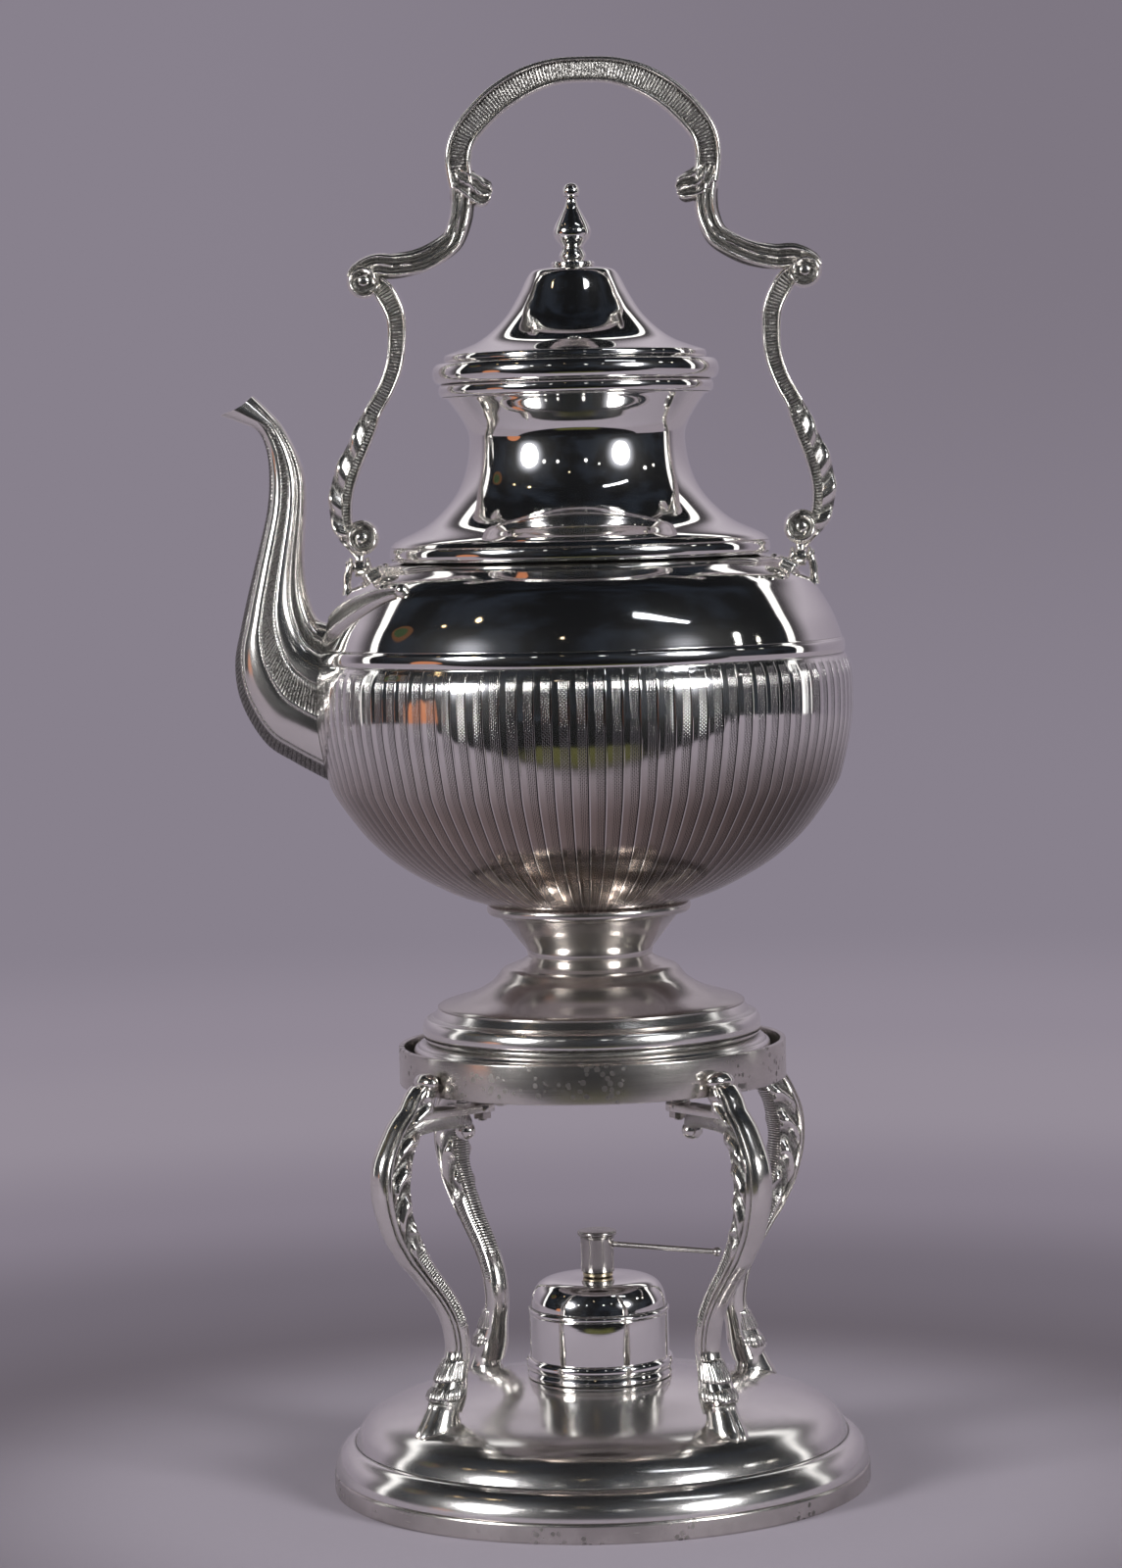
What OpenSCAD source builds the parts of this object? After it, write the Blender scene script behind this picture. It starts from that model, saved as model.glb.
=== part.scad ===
// Spirit kettle on stand: a lift-off kettle with a swinging bail handle, a four-legged
// stand with hoofed feet on a domed base, and a small spirit burner under the kettle.
// Millimetres, +Z up. The origin is the centre of the base's underside, and the spout points to -X.

/* [Base] */
// Outer radius of the base
base_r = 95; // [90:1:105]
// Height of the plain band round the foot of the base
base_band_h = 7; // [5:0.5:8]
// Radial thickness of that band
base_band_t = 2.4; // [1.8:0.2:4]
// Height of the crease above the rounded moulding
crease_z = 17; // [14:0.5:19]
// How far the crease lies inside the outer radius
crease_inset = 7.7; // [5:0.1:10]
// Height of the flat seat in the middle of the base
seat_z = 38; // [35:0.5:42]
// Sheet thickness of the base
dish_wall = 1.2; // [1:0.1:1.6]
// Thickness of the plate that closes the base from below
base_plate_t = 1; // [0.8:0.1:2]

/* [Legs] */
// Distance of each hoof from the edge of the base
hoof_inset = 24.4; // [22:0.2:27]
// Height of a hoof
hoof_h = 7; // [5.5:0.5:9]
// Turn of the four legs about the axis
leg_turn = 8.3; // [-12:0.1:12]
// Bulge of the knee, outwards from the line between hoof and ring
knee_out = 18.9; // [14:0.1:22]
// Bend of the shank, inwards from that line
shank_in = 8.5; // [6:0.1:10]
// Radius of the screws under the hooves
hoof_screw_r = 1.6; // [1.2:0.1:2]
// Length of a hoof screw inside the hoof
hoof_screw_l = 4.5; // [3:0.5:5]
// Thickness of the tab under the ring
tab_t = 2.6; // [2:0.1:3.5]
// Width of the tab
tab_w = 9; // [8:0.5:11]
// Height of the pad on the tab, against the ring
tab_pad = 4; // [2:0.5:5]

/* [Ring] */
// Outer radius of the ring
ring_r = 68.2; // [67.5:0.1:70]
// Height of the underside of the ring
ring_z = 144; // [132:0.5:152]
// Height of the band of the ring
ring_h = 13.4; // [10:0.1:16]
// Wall of the band
ring_wall = 1.9; // [1.4:0.1:2.4]
// Thickness of the inner flange that carries the kettle
flange_t = 1.5; // [1.2:0.1:2.5]
// Radius of the hole in the flange
flange_hole_r = 43; // [38:0.5:45]
// Distance of the ring's screws from the axis
ring_screw_at = 48.5; // [48:0.1:50]
// Radius of the ring's screws
ring_screw_r = 1.5; // [1.2:0.1:1.8]

/* [Kettle foot] */
// Radius of the foot's lowest rim
foot_rim_r = 63; // [61:0.1:64]
// Height of the stepped rim moulding
foot_rim_h = 24.6; // [20:0.1:28]
// Height of the domed part of the foot
foot_dome_h = 17.6; // [14:0.1:21]
// Radius of the waist
waist_r = 21.9; // [20:0.1:26]
// Height of the collar under the bowl
collar_h = 18.8; // [15:0.1:22]
// Radius of the ring on which the bowl sits
collar_r = 35.9; // [33:0.1:40]
// Sheet thickness of the foot
foot_wall = 1.5; // [1.2:0.1:2]

/* [Bowl] */
// Largest radius of the bowl
bowl_r = 94.4; // [92:0.1:97]
// Height of the engraved lower bowl
bowl_h = 85.4; // [82:0.1:90]
// Height of the plain band above it
band_h = 5.9; // [4:0.1:8]
// How far the band lies inside the largest radius
band_inset = 2.6; // [2:0.1:4]
// Height of the shoulder
shoulder_h = 29.6; // [28:0.1:33]
// Sheet thickness of the bowl and the shoulder
bowl_wall = 1.2; // [1:0.1:1.6]

/* [Neck] */
// Radius of the flat flange under the neck
neck_flange_r = 66.5; // [65:0.1:68]
// Thickness of that flange
neck_flange_t = 5; // [4:0.1:6]
// Radius of the hole under the neck
mouth_r = 52; // [48:0.5:55]
// Height of the neck
neck_h = 51.3; // [46:0.1:56]
// Smallest radius of the neck
neck_r = 37.8; // [36:0.1:40]
// Sheet thickness of the neck
neck_wall = 1.2; // [1:0.1:1.6]
// Outer radius of the rim moulding
rim_r = 50; // [49:0.1:52]
// Height of the rim moulding
rim_h = 12; // [10:0.1:14]
// Radius of the opening in the rim
rim_hole_r = 42; // [41:0.1:43]

/* [Lid] */
// Radius of the lid
lid_r = 45.8; // [44.5:0.1:48]
// Height of the lid without its finial
lid_h = 32.4; // [28:0.1:36]
// Radius of the crown of the lid
lid_crown_r = 15.4; // [13:0.1:18]
// Sheet thickness of the lid
lid_wall = 1.2; // [1:0.1:1.6]
// Depth of the collar that drops into the rim
bezel_h = 9.5; // [7:0.5:11]
// Gap between that collar and the rim
bezel_gap = 0.5; // [0.3:0.1:1]
// Height of the finial above its washer
finial_h = 27.3; // [24:0.1:32]
// Radius of the screw below the finial
finial_screw_r = 1.5; // [1.2:0.1:2]

/* [Spout] */
// Reach of the spout's tip from the axis
spout_reach = 124.4; // [122:0.2:130]
// Height of the tip above the bowl's widest level
spout_rise = 103; // [98:0.5:110]
// Half the width of the spout at its root
spout_root_w = 17; // [14:0.5:19]
// Half the width of the spout at its mouth
spout_mouth_w = 6.3; // [5:0.1:8]
// Wall of the spout
spout_wall = 1.3; // [1:0.1:1.8]
// Radius of the hole through the bowl behind the spout
spout_hole_r = 11; // [8:0.5:13]

/* [Handle] */
// Distance of each hinge from the axis
hinge_x = 77.2; // [76.8:0.1:78.6]
// Height of the top of the grip above the hinges
handle_h = 175.4; // [165:0.2:190]
// Thickness of the handle from front to back
handle_t = 8; // [6:0.5:10]
// Sideways set of the handle for each millimetre of height
handle_lean = 0.0315; // [0:0.0005:0.04]
// How far the right arm bows out beyond the left one
right_bow = 1.6; // [0:0.1:2]
// Radius of the hinge pins
pin_r = 1.6; // [1.2:0.1:1.8]
// Thickness of the eye at the foot of each arm
eye_t = 3.4; // [3:0.2:4.4]
// Outer radius of the eyes and of the ears that hold them
eye_r = 3.4; // [3.1:0.1:3.6]
// Thickness of each ear of a lug
ear_t = 2; // [1.6:0.1:2.4]

/* [Burner] */
// Radius of the font
font_r = 24.6; // [22:0.1:27]
// Height of the font above its foot
font_h = 19.5; // [16:0.5:24]
// Height of the moulded foot ring
burner_foot_h = 7; // [5.5:0.5:8]
// Height of the domed top of the burner
burner_top_h = 12.5; // [10:0.5:15]
// Sheet thickness of the burner
burner_wall = 0.9; // [0.7:0.1:1.2]
// Outer radius of the wick tube
wick_tube_r = 4; // [3.4:0.1:4.4]
// Radius of the wick
wick_r = 3; // [2:0.1:3.1]
// Outer radius of the snuffer cap
snuffer_r = 5.9; // [5.7:0.1:7]
// Height of the snuffer cap
snuffer_h = 15; // [13:0.5:18]
// Length of the snuffer's rod, from the axis
rod_l = 45; // [35:1:50]
// Radius of the rod
rod_r = 1; // [0.8:0.1:1.4]
// Direction of the rod
rod_turn = -20; // [-35:1:15]

/* [Fits] */
// Gap between pieces of different bodies that rest on each other
rest_gap = 0.3; // [0.2:0.05:0.4]
// Running clearance of the hinge pins in the eyes
pin_gap = 0.06; // [0.03:0.01:0.1]
// Clearance of screws in their holes
screw_gap = 0.2; // [0.1:0.05:0.4]
// Gap at each side of a hinge eye
ear_gap = 0.3; // [0.2:0.05:0.5]
// Clearance of the burner's foot round its seat
seat_gap = 0.5; // [0.3:0.1:1]

/* [Hidden] */

silver = "#c9c7c4";
satin_silver = "#a9a7a2";
old_silver = "#8f8c88";
brass_colour = "#b59a56";
wick_colour = "#e9e2d0";

// Facets of a turned surface, and steps between the given points of an outline
turn_fn = 96;
steps = 3;

// Heights of the kettle's parts, each standing on the one before
foot_z = ring_z + flange_t + rest_gap;
dome_z = foot_z + foot_rim_h;
collar_z = dome_z + foot_dome_h;
bowl_z = collar_z + collar_h;
band_z = bowl_z + bowl_h;
shoulder_z = band_z + band_h;
neck_flange_z = shoulder_z + shoulder_h;
neck_z = neck_flange_z + neck_flange_t;
rim_z = neck_z + neck_h;
lid_z = rim_z + rim_h + rest_gap;
washer_z = lid_z + lid_h;
washer_t = 1.8;
washer_r = 7.7;

// Plain curve through all the points of a list, with n steps between neighbours
function blend(a, b, c, d, t) =
    0.5 * (2 * b + (c - a) * t + (2 * a - 5 * b + 4 * c - d) * t * t + (3 * b - a - 3 * c + d) * t * t * t);
function smooth(p, n = steps) = concat(
    [for (i = [0 : len(p) - 2], k = [0 : n - 1])
        blend(p[max(i - 1, 0)], p[i], p[i + 1], p[min(i + 2, len(p) - 1)], k / n)],
    [p[len(p) - 1]]);
function flip(p) = [for (i = [len(p) - 1 : -1 : 0]) p[i]];
function unit(v) = v / norm(v);
function along(p, i) = unit(p[min(i + 1, len(p) - 1)] - p[max(i - 1, 0)]);

// Inner side of a wall t thick; the two ends are moved along the directions d0 and d1
function inner(p, t, d0 = [1, 0], d1 = [1, 0]) = [for (i = [0 : len(p) - 1])
    let (v = along(p, i), d = i == 0 ? d0 : i == len(p) - 1 ? d1 : [v[1], -v[0]])
    p[i] - t * d];

// Half round of an outline, swelling by d between two heights at radius r
function bead(r, z0, z1, d, n = 8) = [for (k = [0 : n])
    let (a = -90 + 180 * k / n)
    [r + d * cos(a), (z0 + z1) / 2 + (z1 - z0) / 2 * sin(a)]];

module turn(outline) rotate_extrude($fn = turn_fn) polygon(outline);
module turned_shell(p, t, d0 = [1, 0], d1 = [1, 0]) turn(concat(p, flip(inner(p, t, d0, d1))));
module ring_of(r_out, r_in, z0, h) translate([0, 0, z0]) difference() {
    cylinder(r = r_out, h = h, $fn = turn_fn);
    translate([0, 0, -1]) cylinder(r = r_in, h = h + 2, $fn = turn_fn);
}

// Skin over a row of rings, each with the same number of points, closed at both ends
module loft(rings) {
    n = len(rings[0]);
    m = len(rings);
    middle = function(ring) [for (c = [0 : 2]) [for (q = ring) q[c]] * [for (q = ring) 1] / n];
    points = concat([for (ring = rings, q = ring) q], [middle(rings[0]), middle(rings[m - 1])]);
    sides = [for (i = [0 : m - 2], j = [0 : n - 1], half = [0, 1])
        let (a = i * n + j, b = i * n + (j + 1) % n)
        half == 0 ? [a, a + n, b + n] : [a, b + n, b]];
    foot = [for (j = [0 : n - 1]) [m * n, j, (j + 1) % n]];
    head = [for (j = [0 : n - 1]) [m * n + 1, (m - 1) * n + (j + 1) % n, (m - 1) * n + j]];
    polyhedron(points, concat(sides, foot, head));
}

// The same with a bore: inner rings lie inside the outer ones, and both ends stay open
module loft_tube(outer_rings, inner_rings) {
    n = len(outer_rings[0]);
    m = len(outer_rings);
    q = m * n;
    points = concat([for (ring = outer_rings, v = ring) v], [for (ring = inner_rings, v = ring) v]);
    skins = [for (i = [0 : m - 2], j = [0 : n - 1], half = [0 : 3])
        let (a = i * n + j, b = i * n + (j + 1) % n)
        [[a, a + n, b + n], [a, b + n, b], [q + a, q + b + n, q + a + n], [q + a, q + b, q + b + n]][half]];
    ends = [for (j = [0 : n - 1], half = [0 : 3])
        let (a = j, b = (j + 1) % n, c = (m - 1) * n)
        [[a, b, q + b], [a, q + b, q + a], [c + a, q + c + b, c + b], [c + a, q + c + a, q + c + b]][half]];
    polyhedron(points, concat(skins, ends));
}

// Rings of a cast bar whose path lies in the XZ plane: each key is [x, z, half width, half depth]
function squared(v, e) = sign(v) * pow(abs(v), e);
function bar_rings(k, sides, e = 1) = [for (i = [0 : len(k) - 1])
    let (v = along([for (q = k) [q[0], q[1]]], i))
    [for (j = [0 : sides - 1])
        let (a = 360 * (j + 0.5) / sides, s = k[i][2] * squared(cos(a), e))
        [k[i][0] + s * v[1], k[i][3] * squared(sin(a), e), k[i][1] - s * v[0]]]];

// Rings of a wire that runs along points in space, never straight up
function wire_rings(p, r, sides) = [for (i = [0 : len(p) - 1])
    let (v = along(p, i), n = unit(cross([0, 0, 1], v)), b = cross(v, n))
    [for (j = [0 : sides - 1])
        let (a = 360 * j / sides)
        p[i] + r[i] * (cos(a) * n + sin(a) * b)]];

// Base: a spun dish over a plain band
crease_r = base_r - crease_inset;
band_top_r = base_r - 0.4;
burner_foot_in = font_r - 2.6;
seat_r = font_r + 1.9;
dome_points = [[1, 0], [0.962, 0.238], [0.88, 0.452], [0.715, 0.619], [0.469, 0.762], [0.222, 0.9], [0, 1]];
dish_outline = concat(
    [for (a = [0 : 15 : 75])
        [band_top_r - (band_top_r - crease_r) * (1 - cos(a)),
         base_band_h + (crease_z - base_band_h) * sin(a)]],
    smooth([for (q = dome_points)
        [seat_r + (crease_r - seat_r) * q[0], crease_z + (seat_z - crease_z) * q[1]]]));
dish_heights = flip(dish_outline);
function dish_at(r) = lookup(r, dish_heights);

module base_band() color(silver) turn([
    [base_r - base_band_t, 0], [base_r, 0], [base_r, base_band_h - 0.6], [band_top_r, base_band_h],
    [base_r - base_band_t, base_band_h]]);

module base_plate() color(silver) cylinder(r = base_r - base_band_t, h = base_plate_t, $fn = turn_fn);

module base_dish() color(silver) difference() {
    turn(concat(dish_outline, [[0, seat_z], [0, seat_z - dish_wall]],
        flip(inner(dish_outline, dish_wall, [1, 0], [0, 1]))));
    for (side = leg_sides) at_hoof(side)
        translate([0, 0, -3 * dish_wall])
            cylinder(r = hoof_screw_r + screw_gap, h = 5 * dish_wall, $fn = 24);
}

module burner_seat() color(silver)
    translate([0, 0, seat_z]) cylinder(r = burner_foot_in - seat_gap, h = 1.2, $fn = turn_fn);

// Legs: azimuths of the four legs, front left first
leg_sides = [225 - leg_turn, 315 - leg_turn, 135 - leg_turn, 45 - leg_turn];
hoof_r = base_r - hoof_inset;
hoof_z = dish_at(hoof_r);
hoof_slope = atan((dish_at(hoof_r - 4) - dish_at(hoof_r + 4)) / 8);
module at_hoof(side)
    rotate([0, 0, side]) translate([hoof_r, 0, hoof_z]) rotate([0, hoof_slope, 0]) children();

leg_foot_z = hoof_z + hoof_h;
function leg_r(f) = hoof_r + (ring_r - hoof_r) * f;
function leg_z(f) = leg_foot_z + (ring_z - leg_foot_z) * f;
// Each row: share of the leg's height, share of the shank's bend (below 0) or of the knee's
// bulge (above 0), half width and half depth of the casting
leg_shape = [
    [0.000, -0.28, 6.4, 5.6], [0.044, -0.55, 5.8, 5.6], [0.105, -0.81, 4.5, 4.4],
    [0.166, -1.00, 3.9, 4.1], [0.230, -0.94, 3.9, 4.1], [0.297, -0.67, 3.9, 4.0],
    [0.366, -0.14, 3.9, 4.0], [0.437, 0.26, 4.1, 4.2], [0.506, 0.55, 4.2, 4.4],
    [0.571, 0.77, 4.6, 4.8], [0.637, 0.92, 5.0, 5.2], [0.702, 0.99, 5.4, 5.5], [0.767, 1.00, 5.7, 5.5],
    [0.828, 0.92, 5.4, 5.4], [0.889, 0.77, 4.8, 5.2], [0.945, 0.53, 4.4, 4.9]];
knob_out = 4.6;
leg_keys = concat(
    [for (q = leg_shape) [leg_r(q[0]) + q[1] * (q[1] < 0 ? shank_in : knee_out), leg_z(q[0]), q[2], q[3]]],
    [[ring_r + 1.45 * knob_out, ring_z + 0.1, 4.3, 4.9], [ring_r + knob_out, ring_z + 3.1, 4.2, 5.2],
     [ring_r + knob_out, ring_z + 5.7, 4.1, 5.2], [ring_r + knob_out - 0.1, ring_z + 7.3, 2.6, 3.4]]);
hoof_half = [8.9, 5.7];
hoof_lift = 0.05;
hoof_sides = 12;
function hoof_ring(share, lift) = [for (j = [0 : hoof_sides - 1])
    let (a = 360 * (j + 0.5) / hoof_sides, x = hoof_r + share * hoof_half[0] * cos(a),
         y = share * hoof_half[1] * sin(a))
    [x, y, dish_at(norm([x, y])) + lift]];
leg_rings = concat([hoof_ring(0.5, hoof_lift), hoof_ring(1, hoof_lift), hoof_ring(0.97, 1.2)],
    bar_rings(smooth(leg_keys, 2), hoof_sides));

tab_z = ring_z - tab_pad - tab_t;
ball_r = 3;
ball_at = [ring_r - 12.2, ring_z - 12.5];
scroll_keys = smooth([
    [ring_r + 13, ring_z - 9.1, 3, 3.6], [ring_r + 3, ring_z - 7.7, 3.2, 3.8],
    [ring_r - 6, ring_z - 7.9, 2.8, 3.6], [ball_at[0] - 0.6, ball_at[1] + 1.4, 2.2, 3]], 2);

module leg(side) color(old_silver) difference() {
    rotate([0, 0, side]) {
        loft(leg_rings);
        loft(bar_rings(flip(scroll_keys), 8));
        translate([ball_at[0], 0, ball_at[1]]) sphere(r = ball_r, $fn = 24);
        translate([ring_screw_at, -tab_w / 2, tab_z]) cube([ring_r + 8 - ring_screw_at, tab_w, tab_t]);
        translate([ring_screw_at, 0, tab_z]) cylinder(r = tab_w / 2, h = tab_t, $fn = 48);
        translate([ring_screw_at, 0, tab_z]) cylinder(r = tab_w / 2 - 0.6, h = tab_t + tab_pad, $fn = 48);
    }
    at_hoof(side) translate([0, 0, -3]) cylinder(r = hoof_screw_r, h = hoof_screw_l + 3.2, $fn = 24);
    rotate([0, 0, side]) translate([ring_screw_at, 0, tab_z - 1])
        cylinder(r = ring_screw_r + screw_gap, h = tab_t + tab_pad + 2, $fn = 24);
}
module leg_front_left() leg(leg_sides[0]);
module leg_front_right() leg(leg_sides[1]);
module leg_back_left() leg(leg_sides[2]);
module leg_back_right() leg(leg_sides[3]);

module hoof_screws() color(brass_colour) for (side = leg_sides) at_hoof(side) {
    translate([0, 0, -dish_wall - 2]) cylinder(r = hoof_screw_r, h = dish_wall + 2 + hoof_screw_l, $fn = 24);
    translate([0, 0, -dish_wall - 2.2]) cylinder(r = 2 * hoof_screw_r, h = 2, $fn = 24);
}

// Ring: a plain band with an inner flange, screwed to a tab of each leg
module stand_ring() color(old_silver) difference() {
    turn([[flange_hole_r, ring_z], [ring_r, ring_z], [ring_r, ring_z + ring_h],
        [ring_r - ring_wall, ring_z + ring_h], [ring_r - ring_wall, ring_z + flange_t],
        [flange_hole_r, ring_z + flange_t]]);
    for (side = leg_sides) rotate([0, 0, side]) translate([ring_screw_at, 0, ring_z - 1])
        cylinder(r = ring_screw_r + screw_gap, h = flange_t + 2, $fn = 24);
}
nut_t = 2.4;
module ring_screws() color(brass_colour) for (side = leg_sides)
    rotate([0, 0, side]) translate([ring_screw_at, 0, 0]) {
        translate([0, 0, tab_z - nut_t - 0.8])
            cylinder(r = ring_screw_r, h = ring_z + flange_t - tab_z + nut_t + 0.9, $fn = 24);
        translate([0, 0, ring_z + flange_t]) cylinder(r = 1.9 * ring_screw_r, h = 1.4, $fn = 24);
    }
module ring_nuts() color(brass_colour) for (side = leg_sides)
    rotate([0, 0, side]) translate([ring_screw_at, 0, tab_z - nut_t]) difference() {
        cylinder(r = 2.2 * ring_screw_r, h = nut_t, $fn = 6);
        translate([0, 0, -1]) cylinder(r = ring_screw_r + 0.02, h = nut_t + 2, $fn = 24);
    }

// Kettle foot: a stepped rim, a spun dome and a collar
dome_r = foot_rim_r - 9;
rim_outline = concat(
    [[foot_rim_r - 0.7, foot_z], [foot_rim_r - 0.7, foot_z + 5.9]],
    bead(foot_rim_r - 1.6, foot_z + 6.3, foot_z + 11.5, 1.6),
    [[foot_rim_r - 2.3, foot_z + 12.4]],
    bead(foot_rim_r - 5.4, foot_z + 13.1, foot_z + foot_rim_h - 3.4, 2, 8),
    [[foot_rim_r - 7.4, foot_z + foot_rim_h - 2.6], [dome_r, foot_z + foot_rim_h]]);
rim_inner_r = dome_r - 2.4;
module foot_rim() color(satin_silver) turn(concat(rim_outline,
    [[rim_inner_r, dome_z], [rim_inner_r, dome_z - 1.6], [foot_rim_r - 8.4 - foot_wall, dome_z - 3.6],
     [foot_rim_r - 8.4 - foot_wall, foot_z + 12.9], [foot_rim_r - 2.3 - foot_wall, foot_z + 10.9],
     [foot_rim_r - 0.7 - foot_wall, foot_z + 5.9], [foot_rim_r - 0.7 - foot_wall, foot_z]]));

dome_outline = smooth([[dome_r, dome_z], [dome_r - 1.2, dome_z + 1.4], [dome_r - 12.2, dome_z + 4.8],
    [dome_r - 19.3, dome_z + 8.8], [dome_r - 23, dome_z + foot_dome_h - 4.5],
    [waist_r + 6.4, collar_z - 3.2], [waist_r + 2.4, collar_z - 1.6], [waist_r, collar_z]]);
module foot_dome() color(satin_silver) turned_shell(dome_outline, foot_wall);

collar_curve = smooth([[waist_r, collar_z], [waist_r + 0.5, collar_z + 2.4],
    [waist_r + 2.8, collar_z + 5.4], [waist_r + 7, collar_z + 10.8]]);
module foot_collar() color(satin_silver) turn(concat(
    collar_curve, [[collar_r - 4.4, bowl_z - 4.6]], bead(collar_r - 1.6, bowl_z - 4, bowl_z, 1.6),
    [[collar_r - 5.6, bowl_z], [collar_r - 5.6, bowl_z - 3.4]], flip(inner(collar_curve, foot_wall))));

// Bowl, band and shoulder: the vessel
band_r = bowl_r - band_inset;
bowl_points = [[0, 0], [0.213, 0.0539], [0.481, 0.1546], [0.668, 0.26], [0.796, 0.3653], [0.894, 0.4672],
    [0.9317, 0.535], [0.9846, 0.6967], [1, 0.8173], [0.9915, 0.9391], [-1, 1]];
bowl_outline = smooth([for (q = bowl_points)
    q[0] < 0 ? [band_r, band_z] : [collar_r + (bowl_r - collar_r) * q[0], bowl_z + bowl_h * q[1]]]);
module kettle_bowl() color(silver) difference() {
    turn(concat([[0, bowl_z]], bowl_outline, flip(inner(bowl_outline, bowl_wall, [0, -1])),
        [[0, bowl_z + bowl_wall]]));
    translate([-bowl_r - 1, 0, spout_hole_z]) rotate([0, 90, 0])
        cylinder(r = spout_hole_r, h = 12, $fn = 48);
}
shoulder_r = band_r - 0.9;
module body_band() color(silver) turn(concat(
    [[band_r - bowl_wall, band_z], [band_r, band_z]],
    bead(band_r - 0.5, band_z + 0.6, shoulder_z - 0.6, 0.6),
    [[shoulder_r, shoulder_z], [shoulder_r - bowl_wall, shoulder_z]]));

shoulder_points = [[1, 0], [0.875, 0.288], [0.643, 0.622], [0.46, 0.774], [0.01, 0.96], [-0.24, 1]];
shoulder_outline = concat(
    smooth([for (q = shoulder_points)
        [neck_flange_r + (shoulder_r - neck_flange_r) * q[0], shoulder_z + shoulder_h * q[1]]]),
    [[mouth_r, neck_flange_z]]);
module kettle_shoulder() color(silver) turned_shell(shoulder_outline, bowl_wall, [1, 0], [0, 1]);

vessel_radii = concat([for (q = bowl_outline) [q[1], q[0]]],
    [for (q = shoulder_outline) if (q[0] > neck_flange_r) [q[1], q[0]]]);
function vessel_at(z) = lookup(z, vessel_radii);
shoulder_heights = flip(shoulder_outline);
function shoulder_at(r) = lookup(r, shoulder_heights);
root_lift = 0.05;
module vessel_core() turn(concat([[0, bowl_z]],
    [for (q = concat(bowl_outline, shoulder_outline)) [q[0] + root_lift, q[1]]], [[0, neck_flange_z]]));

module neck_flange() color(silver) ring_of(neck_flange_r, mouth_r, neck_flange_z, neck_flange_t);

neck_foot_r = neck_flange_r - 0.3;
neck_points = [[1, 0], [0.898, 0.045], [0.567, 0.133], [0.335, 0.24], [0.164, 0.357], [0.056, 0.493],
    [0, 0.649], [0.007, 0.766], [0.112, 0.883], [0.235, 0.98], [0.262, 1]];
neck_outline = smooth([for (q = neck_points)
    [neck_r + (neck_foot_r - neck_r) * q[0], neck_z + neck_h * q[1]]]);
neck_inner = [for (q = inner(neck_outline, neck_wall)) [q[0], min(max(q[1], neck_z), rim_z)]];
module neck() color(silver) turn(concat(neck_outline, flip(neck_inner)));

module neck_rim() color(silver) turn(concat(
    [[rim_hole_r, rim_z], [rim_r - 3.4, rim_z]],
    bead(rim_r - 3.4, rim_z + 0.4, rim_z + 4.8, 1.4),
    bead(rim_r - 2.2, rim_z + 5, rim_z + rim_h, 2.2),
    [[rim_hole_r, rim_z + rim_h]]));

// Spout: a hollow swan neck; each row is [under side x, z, upper side x, z, half width share]
spout_mid_z = bowl_z + bowl_h * 0.8173;
spout_hole_z = spout_mid_z - 5;
spout_rows = [
    [0.380, -0.185, 0.076, 0.301, 0.90], [0.663, -0.116, 0.135, 0.330, 0.76],
    [0.885, 0.020, 0.180, 0.384, 0.62], [0.941, 0.154, 0.208, 0.437, 0.50],
    [0.871, 0.282, 0.219, 0.500, 0.40], [0.772, 0.422, 0.208, 0.573, 0.31],
    [0.666, 0.558, 0.188, 0.660, 0.24], [0.581, 0.675, 0.178, 0.747, 0.16],
    [0.551, 0.782, 0.205, 0.820, 0.09], [0.567, 0.879, 0.284, 0.894, 0.04],
    [0.649, 0.950, 0.404, 0.971, 0.00], [0.820, 0.981, 0.540, 1.024, 0.00],
    [1.000, 1.005, 0.674, 1.069, 0.00]];
spout_start = 88.8;
spout_span = spout_reach - spout_start;
function spout_x(s) = -(spout_start + spout_span * s);
function spout_z(s) = spout_mid_z + spout_rise * s;
spout_keys = smooth(concat(
    [[spout_x(0), spout_z(-0.259), spout_x(0), spout_z(0.293), spout_root_w]],
    [for (q = spout_rows) [spout_x(q[0]), spout_z(q[1]), spout_x(q[2]), spout_z(q[3]),
        spout_mouth_w + (spout_root_w - spout_mouth_w) * q[4]]]), 2);
spout_sides = 20;
function spout_ring(k, thin) =
    let (lower = [k[0], k[1]], upper = [k[2], k[3]], centre = (lower + upper) / 2,
         half = (upper - lower) / 2 * (1 - 2 * thin / norm(upper - lower)), w = k[4] - thin)
    [for (j = [0 : spout_sides - 1])
        let (a = 360 * j / spout_sides)
        [centre[0] + half[0] * cos(a), w * sin(a), centre[1] + half[1] * cos(a)]];
function on_vessel(ring) = [for (q = ring)
    [-sqrt(pow(vessel_at(q[2]) + root_lift, 2) - q[1] * q[1]), q[1], q[2]]];
function spout_skin(thin) = [for (i = [0 : len(spout_keys) - 1])
    i == 0 ? on_vessel(spout_ring(spout_keys[0], thin)) : spout_ring(spout_keys[i], thin)];
module spout() color(satin_silver) loft_tube(spout_skin(0), spout_skin(spout_wall));

// A strip on the shoulder: each key is [azimuth, radius from the axis, half width, height]
function on_shoulder(az, r, lift = 0) = [r * cos(az), r * sin(az), shoulder_at(r) + lift];
function strip_rings(k, sides) = [for (i = [0 : len(k) - 1])
    let (p = [for (q = k) on_shoulder(q[0], q[1])], v = along(p, i),
         n0 = [cos(k[i][0]), sin(k[i][0]), 1.6], n = unit(n0 - v * (n0 * v)), b = cross(v, n))
    [for (j = [0 : sides - 1])
        let (a = 360 * j / sides)
        p[i] + k[i][3] * cos(a) * n + k[i][2] * sin(a) * b]];
module on_vessel_only() difference() {
    children();
    vessel_core();
}

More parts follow.
